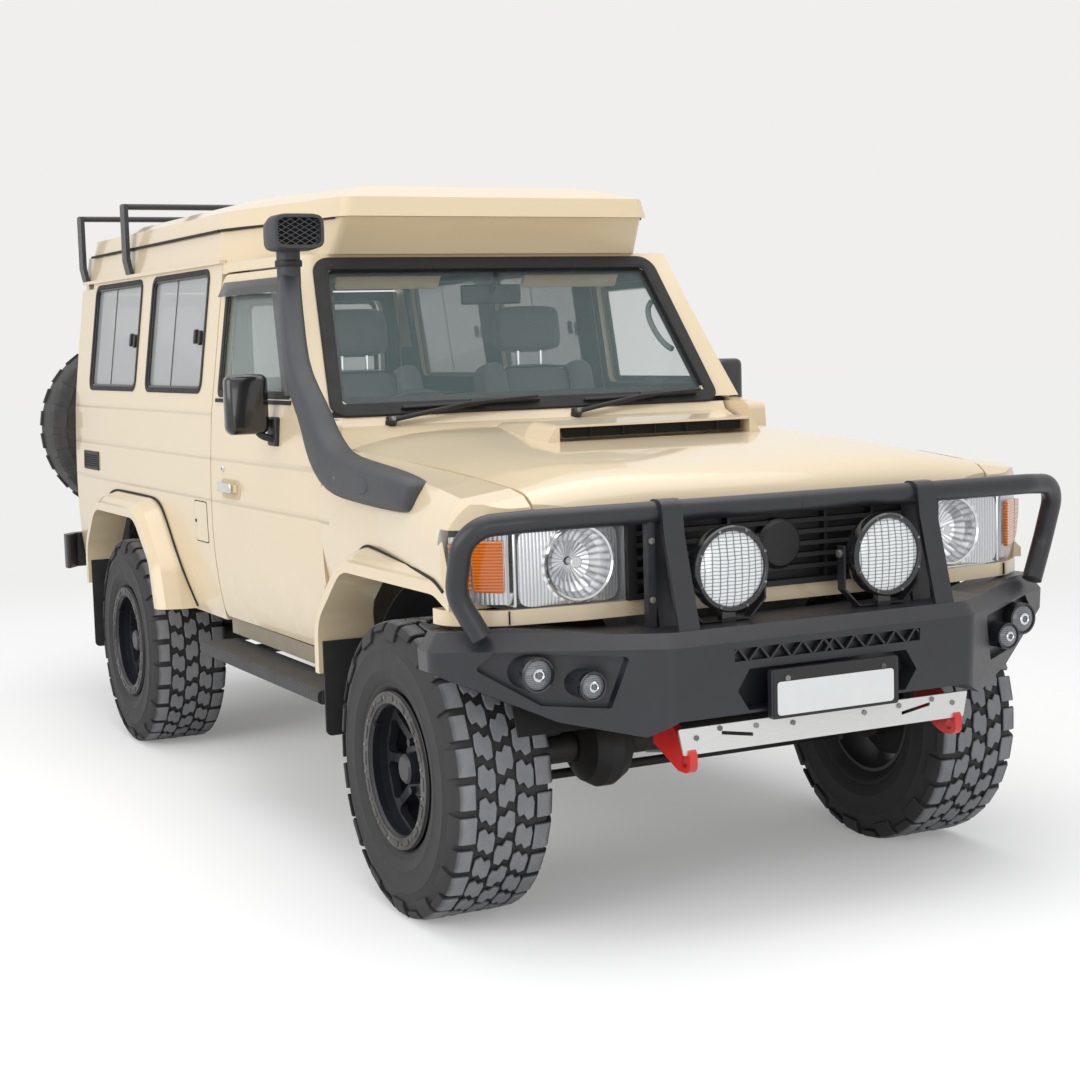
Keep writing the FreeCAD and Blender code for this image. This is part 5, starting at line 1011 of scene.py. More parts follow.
# %% Headlights
BOWL = [(0.096, 0.0), (0.093, 0.012), (0.081, 0.032), (0.058, 0.052), (0.030, 0.064), (0.012, 0.068)]
BOWL_RIM = [(0.096, 0.004), (0.096, -0.004), (0.102, -0.006), (0.106, 0.0), (0.106, 0.006)]
SURROUND = ((LAMP_X, 0.003, LAMP_Z, 0.105, 0.105, 1.0), (0.664, 0.008, 1.057, 0.152, 0.1045, 0.25),
            (0.664, 0.060, 1.057, 0.156, 0.106, 0.25))
CORNER_BACK = [(-0.078, -0.108), (0.010, -0.108), (0.060, -0.070), (0.080, 0.010), (0.084, 0.074),
               (-0.078, 0.080)]
INDICATOR = [(-0.066, -0.076), (0.014, -0.072), (0.022, 0.064), (-0.066, 0.064)]
INDICATOR_END = [(0.020, -0.070), (0.050, -0.050), (0.078, 0.012), (0.083, 0.060), (0.027, 0.064)]
surround = [(at(x, LAMP_Y + back, z) @ along("y") @ Matrix.Diagonal((wide, high, 1, 1)), square)
            for x, back, z, wide, high, square in SURROUND]
corner_face = oriented((0.900, -2.292, 1.072), (0.130, 0.092, 0), (0, 0, 1))
indicator_face = corner_face @ at(0, 0, 0.010)
for name, side in SIDES.items():
    lamp = Piece(f"headlight_inner_{name}")
    centre = sided(side, along("y", (LAMP_X, LAMP_Y, LAMP_Z)))
    lamp.add(lathe(BOWL, 40), "reflector", centre)
    lamp.add(lathe(BOWL_RIM, 64), "chrome", centre)
    lamp.add(drum(0.013, 0.045, 20, 0.004, 0.009), "chrome", centre @ at(0, 0, 0.045))
    lamp.add(drum(0.017, 0.006, 20, 0.002), "chrome", centre @ at(0, 0, 0.018))
    lamp.add(skin(surround, 40, False), "reflector", sided(side))
    lamp.add(plate(CORNER_BACK, 0.006), "reflector", sided(side, corner_face))
    lamp.add(plate(INDICATOR, 0.014, 0.006, 0.003), "amber", sided(side, indicator_face))
    lamp.add(plate(INDICATOR_END, 0.013, 0.005, 0.002), "amber_dim", sided(side, indicator_face))
    lamp.add(block((0.010, 0.05, 0.205), 0.003), "chrome", sided(side, at(0.824, -2.322, 1.057)))
    lamp.done("lamp_lens", sharp=14.0)

# %% [markdown]
# The driving lamps on the bumper have white patterned lenses in black bolted bezels, held by U
# brackets. Lens and bezel are turned parts, so both are spun from half a section.

# %% Driving lamps
LENS = [(0.0, 0.0125), (0.030, 0.0118), (0.062, 0.0095), (0.088, 0.0055), (0.1035, 0.0005)]
BEZEL = [(0.1010, 0.000), (0.1040, 0.0075), (0.1080, 0.0090), (0.1140, 0.0080), (0.1185, 0.0030),
         (0.1195, -0.0200), (0.1180, -0.0300)]
BRACKET = [(-0.130, 0.030), (-0.130, -0.095), (-0.078, -0.146), (0.078, -0.146), (0.130, -0.095),
           (0.130, 0.030), (0.124, 0.030), (0.124, -0.092), (0.075, -0.140), (-0.075, -0.140),
           (-0.124, -0.092), (-0.124, 0.030)]
BEZEL_BOLTS = 8
for name, side in SIDES.items():
    lamp = Piece(f"driving_lamp_face_{name}")
    face = sided(side, along("-y", (DRIVE_X, DRIVE_Y, DRIVE_Z)))
    lamp.add(lathe(LENS, 56), "lamp_face", face)
    lamp.add(lathe(BEZEL, 64), "lamp_black", face)
    lamp.add(bolt_head(0.0042, 0.005, 0.0006), "bolt_steel",
             *[face @ turned((i + 0.5) * 360 / BEZEL_BOLTS, "Z") @ at(0.1105, 0, 0.0098)
               for i in range(BEZEL_BOLTS)])
    lamp.add(plate(BRACKET, 0.034, bevel=0.001), "bar_black",
             sided(side, upright((DRIVE_X, DRIVE_Y + 0.062, DRIVE_Z))))
    lamp.add(bolt_head(0.012, 0.012), "bolt_steel",
             *[sided(side, along("x", (DRIVE_X + reach, DRIVE_Y + 0.045, DRIVE_Z + 0.008)))
               for reach in (-0.134, 0.134)])
    lamp.done("lamp_black")

# %% [markdown]
# Two small lamps sit deep in each wing of the bumper: a grey ribbed lens, a black bezel and a
# bright ring in the middle. Their sections are given as shares of each lamp's radius, because the
# two differ in size.

# %% Wing lamps
for name, side in SIDES.items():
    wing = Piece(f"wing_lamps_{name}")
    for x, y, z, radius in ((0.700, -2.5335, 0.757, 0.038), (0.822, -2.4575, 0.789, 0.046)):
        for share, steps, finish in (
                ([(0.0, 0.0110), (0.5, 0.0090), (0.82, 0.0040), (0.9, 0.0005)], 36, "small_lens"),
                ([(0.88, 0.001), (0.92, 0.006), (1.04, 0.005), (1.06, -0.010)], 36, "lamp_black"),
                ([(0.22, 0.0125), (0.30, 0.0140), (0.38, 0.0115)], 24, "chrome")):
            profile = [(radius * part, height) for part, height in share]
            wing.add(lathe(profile, steps), finish, sided(side, along("-y", (x, y, z))))
    wing.done("lamp_lens")

# %% [markdown]
# The bumper carries a blank white number plate in a dark frame, slots for a jack, and bolts. The
# plate is left bare, as the whole model is. The T-shaped jack slots are thin near-black plates on the
# sloping face: painted shade where the holes would be.

# %% Bumper fittings
TEE = [(-0.032, 0.016), (-0.032, -0.002), (-0.010, -0.002), (-0.010, -0.024), (0.010, -0.024),
       (0.010, -0.002), (0.032, -0.002), (0.032, 0.016)]
BUMPER_BOLTS = (
    (0.008, 0.006, 0.0008, -2.6085, ((0.356, 0.618), (0.430, 0.600), (0.12, 0.606), (0.24, 0.612))),
    (0.010, 0.008, 0.001, -2.4790, ((0.479, 1.120), (0.479, 0.960))),
    (0.009, 0.006, 0.001, -2.6440, ((0.160, 0.738),)))
fittings = Piece("bumper_fittings")
for half, low, high, depth, finish in ((0.194, -0.058, 0.034, 0.004, "plate_white"),
                                       (0.206, -0.066, 0.064, 0.002, "black_plastic")):
    fittings.add(plate(oblong(-half, half, low, high), depth, 0.010, 0.0008), finish,
                 upright((0, -2.6425, 0.696)))
for side in (-1, 1):
    slope = oriented((side * 0.408, -2.6068, 0.687), (1, 0, 0), (0, 0.04, 1))
    # Painted shade: a near-black T plate stands for the shade inside each jack slot.
    fittings.add(plate(TEE, 0.0012), "painted_shade_black", slope)
    for radius, height, bevel, y, spots in BUMPER_BOLTS:
        fittings.add(bolt_head(radius, height, bevel), "bolt_steel",
                     *[along("-y", (side * x, y, z)) for x, z in spots])
fittings.done("bar_black")

# %% [markdown]
# The windscreen sits in a black rubber seal, with a dark printed band round the glass and a strip
# of the same print above the wipers. The frames are all cut from one flat outline, each drawn in by
# its own inset, and laid in the leaning plane of the screen. The seal's corners have a radius
# larger than its width, because a smaller one leaves a mitred corner on the inside of a ring.

# %% Windscreen seal
SCREEN = oriented((0, -0.8855, 1.424), (1, 0, 0), (0, 0.5419, 0.8405))
SCREEN_LINE = [(-0.767, 0.0), (0.767, 0.0), (0.683, 0.6496), (-0.683, 0.6496)]
WIPER_BAND = [(-0.700, 0.050), (0.700, 0.050), (0.697, 0.086), (-0.697, 0.086)]


def on_screen(u, v, out=0.0):
    return SCREEN @ at(u, v, out)


def screen_inset(inset):
    return [(u - math.copysign(inset, u), v + (inset if v < 0.3 else -inset)) for u, v in SCREEN_LINE]


seal = Piece("windscreen_seal")
for inset, depth, corner, bevel, ring, out, finish in (
        (0.0, 0.014, 0.060, 0.003, 0.044, -0.004, "seal_black"),
        (0.036, 0.024, 0.026, 0.002, 0.014, -0.0155, "seal_black"),
        (0.045, 0.0012, 0.036, 0.0, 0.022, -0.0150, "frit_black")):
    seal.add(plate(screen_inset(inset), depth, corner, bevel, 8, ring), finish, on_screen(0, 0, out))
seal.add(plate(WIPER_BAND, 0.0010), "frit_black", on_screen(0, 0, -0.0149))
seal.done("flap_rubber")

# %% [markdown]
# Two wipers are parked along the foot of the screen. Each is a pivot with its nut, an arm that
# rises from it and comes down again, and a blade whose rubber lip touches the glass.

# %% Wipers
WIPER_ARM = ((0, -0.030, 0.024), (0.2, -0.012, 0.030), (0.45, 0.008, 0.034), (0.62, 0.020, 0.030))
wipers = Piece("wiper_blades")
for start, reach in ((-0.560, 0.560), (0.150, 0.500)):
    wipers.add(drum(0.020, 0.030, 24, 0.005, 0.016), "black_plastic", on_screen(start, -0.030, 0.012))
    wipers.add(bolt_head(0.010, 0.012, 0.002), "bolt_steel", on_screen(start, -0.030, 0.030))
    arm = [on_screen(start + reach * share, v, out).to_translation() for share, v, out in WIPER_ARM]
    wipers.add(pipe(arm, 0.0085), "black_plastic")
    blade = on_screen(start + reach * 0.56, 0.026) @ turned(1.2, "Z")
    for size, bevel, finish, spot in (
            ((reach * 0.94, 0.012, 0.012), 0.004, "black_plastic", (0, 0, 0.019)),
            ((reach * 0.95, 0.005, 0.014), 0.001, "seal_black", (0, 0, 0.008)),
            ((0.060, 0.022, 0.018), 0.005, "black_plastic", (0.02, 0, 0.025))):
        wipers.add(block(size, bevel), finish, blade @ at(*spot))
wipers.done("black_plastic")

# %% [markdown]
# Through the glass one sees the mirror on its stalk, the folded sun visors and a grab handle on the
# left pillar, which bends out from the pillar's lining.

# %% Mirror, visors and handle
VIEW_X, VIEW_Z = 0.02, 1.838


def pillar_point(x, z, level, back):
    """A point behind the windscreen's leaning plane, as that plane lies at a level."""
    return x, -0.8855 + 0.64469 * (level - 1.424) + back, z


inside = Piece("interior_mirror")
inside.add(block((0.240, 0.024, 0.072), 0.009, 3), "black_plastic", at(VIEW_X, -0.510, VIEW_Z))
inside.add(plate(oblong(-0.108, 0.108, -0.028, 0.028), 0.001, 0.01), "mirror_glass",
           upright((VIEW_X, -0.4975, VIEW_Z), BACKWARDS))
stalk = [(VIEW_X, -0.520, 1.845), (VIEW_X, -0.545, 1.880), (VIEW_X, -0.560, 1.915)]
inside.add(pipe(stalk, 0.009), "black_plastic")
for across in (-0.370, 0.370):
    inside.add(block((0.400, 0.020, 0.120), 0.008, 3), "visor_tan_and_recess_shade",
               at(across, -0.490, 1.915) @ turned(35, "X"))
handle = [pillar_point(0.684, 1.62, 1.62, 0.07), pillar_point(0.664, 1.64, 1.63, 0.11),
          pillar_point(0.650, 1.77, 1.78, 0.11), pillar_point(0.662, 1.80, 1.79, 0.07)]
inside.add(pipe(handle, 0.011), "headliner_grey")
inside.done("black_plastic")

# %% [markdown]
# The side windows slide in black aluminium frames. Each frame is laid out flat and then bent onto
# the skin, with the overlapping middle bar of the two sliding panes and small latches. Behind the
# windows, the body has an air vent: its rim, seven slats and, behind them, a near-black plate of
# painted shade for the dark opening.

# %% Side windows
LOW, HIGH, WINDOW_LENGTH = 1.510, 1.962, 0.760
VENT = oblong(1.7525, 2.0125, 1.135, 1.220)
SLATS, SLAT_PITCH = 7, 0.0092
for name, side in SIDES.items():
    trim = Piece(f"side_window_frames_{name}")
    for front in (0.2545, 1.1865):
        rear = front + WINDOW_LENGTH
        window = oblong(front, rear, LOW, HIGH)
        rubber_line = oblong(front, rear, LOW, HIGH, 0.012)
        middle = (front + rear) / 2 + 0.06
        overlap = oblong(middle - 0.002, middle + 0.003, LOW + 0.012, HIGH - 0.012)
        trim.add(laid(rubber_line, 0.008, -0.004, side, 0.050, 0.0015, 0.020), "seal_black")
        trim.add(laid(window, 0.010, -0.011, side, 0.040, 0.001, 0.016), "frame_metal")
        trim.add(laid(overlap, 0.003, -0.012, side), "frame_metal")
        for shift, low in ((0.130, 1.690), (0.070, 1.684)):
            catch = oblong(front + shift - 0.011, front + shift + 0.011, low, low + 0.056)
            trim.add(laid(catch, 0.014, -0.012, side, 0.010, 0.002), "black_plastic")
    trim.add(laid(VENT, 0.006, -0.001, side, 0.010, 0.0015, 0.012), "black_plastic")
    # Painted shade: a near-black plate stands for the shade inside the vent's opening.
    trim.add(laid(VENT, 0.0015, -0.0008, side), "painted_shade_black")
    for i in range(SLATS):
        low = 1.1475 + i * SLAT_PITCH
        slat = oblong(1.764, 2.001, low, low + 0.0052)
        trim.add(laid(slat, 0.0045, 0.0, side, bevel=0.0012), "black_plastic")
    trim.done("black_plastic")

# %% [markdown]
# Each front door has a rubber channel round its glass, a bright pull handle over a finger recess
# and a key lock. The recess is only a flat plate of painted shade, darker than the paint, and the
# keyhole a near-black sliver of painted shade. They ride on the door, so they swing with it.

# %% Front door trim
DOOR_GLASS = [(-0.7302, 1.488), (0.0405, 1.488), (0.0405, 1.888), (-0.4724, 1.888)]
PULL_Y, PULL_Z = -0.138, 1.162
LOCK_Y, LOCK_Z = -0.055, 1.225
PULL_X, LOCK_SKIN_X = side_x(PULL_Y, PULL_Z), side_x(LOCK_Y, LOCK_Z)
for name, side in SIDES.items():
    trim = Piece(f"front_door_trim_{name}", f"front_door_{name}")
    trim.add(laid(DOOR_GLASS, 0.010, -0.008, side, 0.030, 0.0015, 0.026, 3), "seal_black")
    trim.add(laid(oblong(-0.735, 0.050, 1.470, 1.484), 0.006, -0.001, side, 0.002, cuts=3), "seal_black")
    trim.add(laid(oblong(0.0125, 0.0285, 1.505, 1.872), 0.006, -0.010, side), "frame_metal")
    # Painted shade: the finger recess is a flat plate in a darker tan, not a hollow.
    trim.add(laid(oblong(-0.250, -0.028, 1.118, 1.190), 0.0012, -0.0004, side, 0.030), "visor_tan_and_recess_shade")
    trim.add(block((0.010, 0.150, 0.034), 0.0045, 3), "chrome",
             sided(side, at(PULL_X + 0.026, PULL_Y, PULL_Z)))
    trim.add(drum(0.0125, 0.008, 24, 0.002), "chrome",
             sided(side, along("x", (LOCK_SKIN_X + 0.002, LOCK_Y, LOCK_Z))))
    # Painted shade: a near-black sliver stands for the shade in the keyhole.
    trim.add(block((0.002, 0.0016, 0.010)), "painted_shade_black",
             sided(side, at(LOCK_SKIN_X + 0.0062, LOCK_Y, LOCK_Z)))
    trim.done("black_plastic")

# %% [markdown]
# Over the door's opening a smoked weather shield keeps the rain out. It is a plate whose inner part
# is drawn outwards before it is bent onto the skin, so that it stands off the glass.

# %% Weather shields
SHIELD = [(-0.752, 1.502), (-0.700, 1.502), (-0.690, 1.524), (-0.470, 1.846), (-0.450, 1.858),
          (0.056, 1.858), (0.056, 1.912), (-0.480, 1.912), (-0.494, 1.900)]
STAND_OFF = 0.020


def stands_off(y, z):
    return z < 1.89 and y > -0.73 and y + 0.66 * (1.9 - z) > -0.47


for name, side in SIDES.items():
    shield = Piece(f"weather_shield_{name}", f"front_door_{name}")
    visor = plate(SHIELD, 0.0035, bevel=0.001)
    lip = [vert for vert in visor.verts if stands_off(*vert.co.xy)]
    bmesh.ops.translate(visor, vec=(0, 0, STAND_OFF), verts=lip)
    bmesh.ops.translate(visor, vec=(0, 0, 0.003), verts=visor.verts)
    shield.add(drape(visor, side), "shield_smoke")
    shield.done("glass_smoked")

# %% [markdown]
# The door mirrors have a rounded head on two prongs. The head replaces the frame's plainer block.

# %% Mirror heads
MIRROR_X, MIRROR_Z = 0.965, 1.4745
PRONGS = (((0.868, -0.622, 1.352), (0.905, -0.615, 1.358), (0.930, -0.605, 1.378),
           (0.940, -0.600, 1.410)),
          ((0.868, -0.596, 1.400), (0.895, -0.596, 1.410), (0.912, -0.598, 1.428),
           (0.935, -0.600, 1.450)))
for name, side in SIDES.items():
    head = Piece(f"mirror_head_{name}", f"front_door_{name}")
    head.add(block((0.150, 0.070, 0.205), 0.026, 4), "lamp_black",
             sided(side, at(MIRROR_X, -0.6005, MIRROR_Z)))
    head.add(plate(oblong(-0.062, 0.062, -0.088, 0.088), 0.001, 0.016), "mirror_glass",
             sided(side, upright((MIRROR_X, -0.5652, MIRROR_Z), BACKWARDS)))
    glass_rim = plate(oblong(-0.066, 0.066, -0.092, 0.092), 0.003, 0.018, 0.001, ring=0.005)
    head.add(glass_rim, "black_plastic", sided(side, upright((MIRROR_X, -0.5660, MIRROR_Z), BACKWARDS)))
    head.add(block((0.030, 0.085, 0.100), 0.009, 3), "black_plastic",
             sided(side, at(0.868, -0.606, 1.378)))
    for prong in PRONGS:
        head.add(pipe([(side * x, y, z) for x, y, z in prong], 0.013), "black_plastic")
    head.done("black_plastic", f"mirror_{name}")

# %% [markdown]
# The fuel flap on the right side is a thin painted plate over a dark one that shows as its gap.

# %% Fuel flap
RIGHT = SIDES["right"]
CAP_LINE = oblong(0.1525, 0.3125, 0.930, 1.090)
CAP_LOCK_Y, CAP_LOCK_Z = 0.295, 1.010
cap = Piece("fuel_cap")
cap.add(laid(CAP_LINE, 0.0010, -0.0004, RIGHT, 0.014, 0.0, 0.004, 2), "gap_black")
cap.add(laid(oblong(0.1565, 0.3085, 0.934, 1.086), 0.0022, -0.0004, RIGHT, 0.012, 0.0008, cuts=2),
        "sand_paint")
cap.add(drum(0.007, 0.003, 20, 0.001), "gap_black",
        along("-x", (-side_x(CAP_LOCK_Y, CAP_LOCK_Z) - 0.0025, CAP_LOCK_Y, CAP_LOCK_Z)))
cap.done("sand_paint")

# %% [markdown]
# The snorkel is one blown moulding, so it's a smooth skin: rounded sections are bridged along its
# path and subdivided. It lies along the fender and then climbs the windscreen's pillar. Each
# section has its distance behind the axle, its height, its place across, two half sizes and the
# tilt of its plane.

# %% Snorkel moulding
POD = [(-0.100, 1.2300, 0.906, 0.018, 0.016, 0), (-0.096, 1.2300, 0.906, 0.042, 0.037, 0),
       (-0.078, 1.2320, 0.908, 0.050, 0.046, 0), (-0.020, 1.2370, 0.911, 0.055, 0.054, 0),
       (0.120, 1.2440, 0.908, 0.057, 0.062, 2), (0.380, 1.2560, 0.902, 0.057, 0.066, 4),
       (0.500, 1.2660, 0.900, 0.057, 0.070, 8), (0.580, 1.2900, 0.900, 0.057, 0.073, 20),
       (0.652, 1.3380, 0.901, 0.055, 0.069, 38), (0.700, 1.3960, 0.902, 0.051, 0.060, 48),
       (0.740, 1.4560, 0.903, 0.047, 0.053, 52), (0.863, 1.5600, 0.905, 0.041, 0.048, 50),
       (0.940, 1.6500, 0.886, 0.040, 0.044, 51), (1.013, 1.7400, 0.864, 0.039, 0.040, 52),
       (1.080, 1.8250, 0.843, 0.038, 0.036, 55), (1.136, 1.9000, 0.824, 0.038, 0.034, 58),
       (1.144, 1.9120, 0.824, 0.030, 0.026, 60)]
POD_SQUARENESS, SNORKEL_STEPS = 0.66, 28


def section(place, columns, square):
    """One ring of a skin: where the circle's three axes go, and how square it is."""
    return Matrix.Translation(place) @ Matrix(columns).transposed().to_4x4(), square


rings = []
for behind, z, x, half_x, half_across, tilt in POD:
    lean = math.radians(tilt)
    columns = ((-half_x, 0, 0), (0, -half_across * math.sin(lean), half_across * math.cos(lean)),
               (0, math.cos(lean), math.sin(lean)))
    rings.append(section((-x, AXLE_FRONT + behind, z), columns, POD_SQUARENESS))
moulding = Piece("snorkel_moulding")
moulding.add(skin(rings, SNORKEL_STEPS), "snorkel_plastic")
moulding.done("snorkel_plastic", "snorkel", sharp=60.0, levels=1)

# %% [markdown]
# Its head is a blunt closed form with a mesh in the mouth. The mouth is the head's front face,
# inset for its rim and again for its depth. Behind the mesh, a near-black disc is painted shade in
# the mouth. A clamp holds the head on a round neck.

# %% Snorkel head
NECK_X, NECK_Y, CLAMP_Z = -0.824, -0.6915, 1.946
CLAMP = [(0.0405, -0.011), (0.0445, -0.011), (0.0460, -0.008), (0.0460, 0.008), (0.0445, 0.011),
         (0.0405, 0.011)]


def blunt(back, half, low, high):
    """An upright section of the head, from its distance behind the neck, half width and two levels."""
    return section((NECK_X, NECK_Y + back, (low + high) / 2),
                   ((half, 0, 0), (0, 0, (high - low) / 2), (0, 1, 0)), 0.42)


head = Piece("snorkel_head")
hood = skin([blunt(-0.122, 0.086, 1.992, 2.104), blunt(-0.116, 0.089, 1.989, 2.106),
             blunt(-0.040, 0.088, 1.984, 2.106), blunt(0.020, 0.078, 1.986, 2.094),
             blunt(0.050, 0.062, 1.992, 2.074), blunt(0.058, 0.050, 2.000, 2.062)], SNORKEL_STEPS)
mouth = min(hood.faces, key=lambda face: face.calc_center_median().y)
bmesh.ops.inset_individual(hood, faces=[mouth], thickness=0.010)
bmesh.ops.inset_individual(hood, faces=[mouth], thickness=0.003, depth=-0.050)
head.add(hood, "snorkel_plastic")
# The second disc is painted shade: near-black, it stands for the shade inside the mouth.
for front, back, half, low, high, finish in (
        (-0.1090, -0.1085, 0.076, 2.001, 2.095, "diamond_mesh"),
        (-0.0760, -0.0750, 0.074, 2.003, 2.093, "painted_shade_black")):
    head.add(skin([blunt(y, half, low, high) for y in (front, back)], SNORKEL_STEPS), finish)
head.add(drum(0.040, 0.120, 40), "snorkel_plastic", at(NECK_X, NECK_Y, 1.936))
head.add(lathe(CLAMP, 48), "black_plastic", at(NECK_X, NECK_Y, CLAMP_Z))
head.add(block((0.030, 0.014, 0.014), 0.002), "black_plastic",
         at(NECK_X - 0.012, NECK_Y - 0.047, CLAMP_Z))
boss = at(-0.9635, AXLE_FRONT + 0.215, 1.2500) @ turned(-88, "Y") @ Matrix.Diagonal((1, 2.4, 1, 1))
head.add(drum(0.026, 0.006, 40, 0.002, 0.024), "snorkel_plastic", boss)
head.add(bolt_head(0.007, 0.008), "bolt_steel", along("-x", (-0.952, AXLE_FRONT + 0.01, 1.239)),
         along("-x", (-0.955, AXLE_FRONT + 0.44, 1.262)))
head.done("snorkel_plastic")

# %% [markdown]
# The front seats get crowned cushions with side bolsters and a sewn seam round each, in woven
# cloth. A cushion is a cube cut into a fine grid: its corners are drawn in, its faces crowned, and
# the whole is smoothed once, as foam under cloth is.

# %% Seats
CUSHION_CUTS = 7
SEAT_X, SEAT_Y = 0.370, -0.4855
CUSHION, BACKREST = (0.330, 0.480, 0.130, 0.014), (0.310, 0.570, 0.110, 0.012)
HEADREST = (0.270, 0.175, 0.090, 0.012)
CUSHION_BOLSTER, BACK_BOLSTER = (0.105, 0.490, 0.150, 0.008), (0.100, 0.580, 0.150, 0.008)


def cushion(width, depth, height, crown):
    """A soft block with its faces crowned outwards and its corners rounded."""
    part = bmesh.new()
    bmesh.ops.create_cube(part, size=2.0)
    bmesh.ops.subdivide_edges(part, edges=part.edges, cuts=CUSHION_CUTS, use_grid_fill=True)
    for vert in part.verts:
        u, v, w = vert.co
        round_u, round_v = 1 - abs(u) ** 6 * 0.10, 1 - abs(v) ** 6 * 0.10
        edge_height = height / 2 * (1 - 0.30 * max(abs(u), abs(v)) ** 8)
        vert.co = (u * round_v * width / 2, v * round_u * depth / 2,
                   w * (edge_height + crown * (1 - u * u) * (1 - v * v)))
    bmesh.ops.smooth_vert(part, verts=part.verts, factor=0.5, use_axis_x=True, use_axis_y=True,
                          use_axis_z=True)
    return part


def seam(width, depth):
    half_u, half_v = width / 2 - 0.006, depth / 2 - 0.006
    return plate(oblong(-half_u, half_u, -half_v, half_v), 0.005, 0.03, 0.0015, ring=0.006)


for name, side in SIDES.items():
    x, y = side * SEAT_X, SEAT_Y
    base = at(x, y - 0.010, 0.962) @ turned(-3, "X")
    back = at(x, y + 0.300, 1.290) @ turned(-12.5, "X") @ along("-y")
    rest = at(x, y + 0.385, 1.712) @ turned(-8, "X") @ along("-y")
    seat = Piece(f"seat_{name}")
    for size, *spots in (
            (CUSHION, base), (BACKREST, back), (HEADREST, rest),
            (CUSHION_BOLSTER, base @ at(-0.200, 0, 0.012), base @ at(0.200, 0, 0.012)),
            (BACK_BOLSTER, back @ at(-0.190, 0, 0.018), back @ at(0.190, 0, 0.018))):
        seat.add(cushion(*size), "seat_fabric", *spots)
    seat.add(seam(0.320, 0.470), "seat_seam", base @ at(0, 0, 0.050))
    seat.add(seam(0.300, 0.560), "seat_seam", back @ at(0, 0, 0.042))
    piece = seat.done("seat_fabric", sharp=70.0)
    stand = Piece(f"seat_stand_{name}")
    for across in (-1, 1):
        stand.add(drum(0.007, 0.16, 16), "chrome", at(x + across * 0.05, y + 0.365, 1.60))
        stand.add(block((0.030, 0.420, 0.060), 0.006), "black_plastic", at(x + across * 0.17, y, 0.870))
    stand.add(block((0.370, 0.400, 0.160), 0.012), "black_plastic", at(x, y, 0.790))
    stand.done("black_plastic")
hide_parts("front_seats")

# %% [markdown]
# The scoop on the bonnet is open to the front. A near-black plate of painted shade, with five thin
# dividers, closes it, and rides on the bonnet. The tail lamps get three thin lenses each: reversing,
# brake and turning light.

# %% Scoop and tail lenses
DIVIDERS, DIVIDER_PITCH = 5, 0.115
scoop = Piece("scoop_dividers", "bonnet")
# Painted shade: the near-black plate stands for the shade inside the scoop.
scoop.add(plate(oblong(-0.325, 0.325, 1.364, 1.398), 0.003, 0.006), "painted_shade_black",
          upright((0, -1.690, 0)))
scoop.add(block((0.0025, 0.020, 0.036), 0.0008), "gap_black",
          *[at(-0.23 + i * DIVIDER_PITCH, -1.697, 1.382) for i in range(DIVIDERS)])
scoop.done("sand_paint")

TAIL_LENSES = ((0.858, 0.915, "small_lens"), (0.919, 1.025, "lamp_red"), (1.029, 1.083, "amber"))
for name, side in SIDES.items():
    lens = Piece(f"tail_lenses_{name}")
    for low, high, finish in TAIL_LENSES:
        lens.add(plate(oblong(-0.033, 0.019, low, high), 0.0008, 0.006), finish,
                 sided(side, upright((0.820, 2.2443, 0), BACKWARDS)))
    lens.done("lamp_red")

# %% [markdown]
# A black rubber seal lies where each front flare meets its fender. The line is worked out as the
# flare's own outline is, from the wheel opening: straight runs with rounded corners, moved outwards
# by the flare's reach, which depends on the fender's width there. That gives its station and level.
# How far out it lies is measured on the frame's mesh, with a ray that is cast in from the side, so
# that the seal is neither buried nor in the air.

# %% Flare lines
FENDER_WIDTHS = ((0.0, 0.985), (0.170, 0.982), (0.330, 0.962), (0.560, 0.928), (0.820, 0.896),
                 (1.100, 0.878), (1.338, 0.873))
FLARE_REACH = ((0.820, 0.088), (0.897, 0.076), (0.955, 0.058), (0.976, 0.040), (0.985, 0.034))
CORNER_RADII = (0, 0.190, 0.250, 0.250)
LINE_STOPS = ((0, 0), (1, 0), (1, 0.5), (1, 1), (2, 0), (2, 0.35), (2, 0.7), (2, 1), (3, 0), (3, 0.5),
              (3, 0.9))
RAY_START_X = 1.4


def between(table, value):
    for (low, first), (high, second) in zip(table, table[1:]):
        if value <= high:
            return first + (second - first) * (value - low) / (high - low)
    return table[-1][1]


def bend(before, corner, after, radius, share):
    """A point on the arc that rounds a corner of a side outline."""
    back, ahead = (before - corner).normalized(), (after - corner).normalized()
    reach = radius * math.tan((math.pi - back.angle(ahead)) / 2)
    return ((corner + back * reach) * (1 - share) ** 2 + corner * (2 * share * (1 - share))
            + (corner + ahead * reach) * share ** 2)


def front_flare(corner, share):
    """Where the front flare meets its fender; the reach and the width there settle in a few rounds."""
    grow = 0.07
    for _ in range(5):
        outline = [Vector(point) for point in (
            (0.562 + grow, 0.665), (0.562 + grow, 0.805), (0.350 + 0.6 * grow, 0.985 + grow),
            (-0.340 - 0.6 * grow, 0.985 + grow), (-0.560 - grow, 0.900))]
        along_y, z = outline[0]
        if corner:
            along_y, z = bend(*outline[corner - 1:corner + 2], CORNER_RADII[corner], share)
        grow = between(FLARE_REACH, between(FENDER_WIDTHS, along_y + 0.560))
    return AXLE_FRONT + along_y, z


def node_surface(node):
    mesh = NODES[node].data
    return BVHTree.FromPolygons([vert.co for vert in mesh.vertices],
                                [face.vertices[:] for face in mesh.polygons])


def on_fender(surface, side, y, z, out):
    """The point of a fender's outer side at a station and level, a little proud of it."""
    hit = surface.ray_cast(Vector((side * RAY_START_X, y, z)), Vector((-side, 0, 0)))[0]
    return hit.x + side * out, y, z


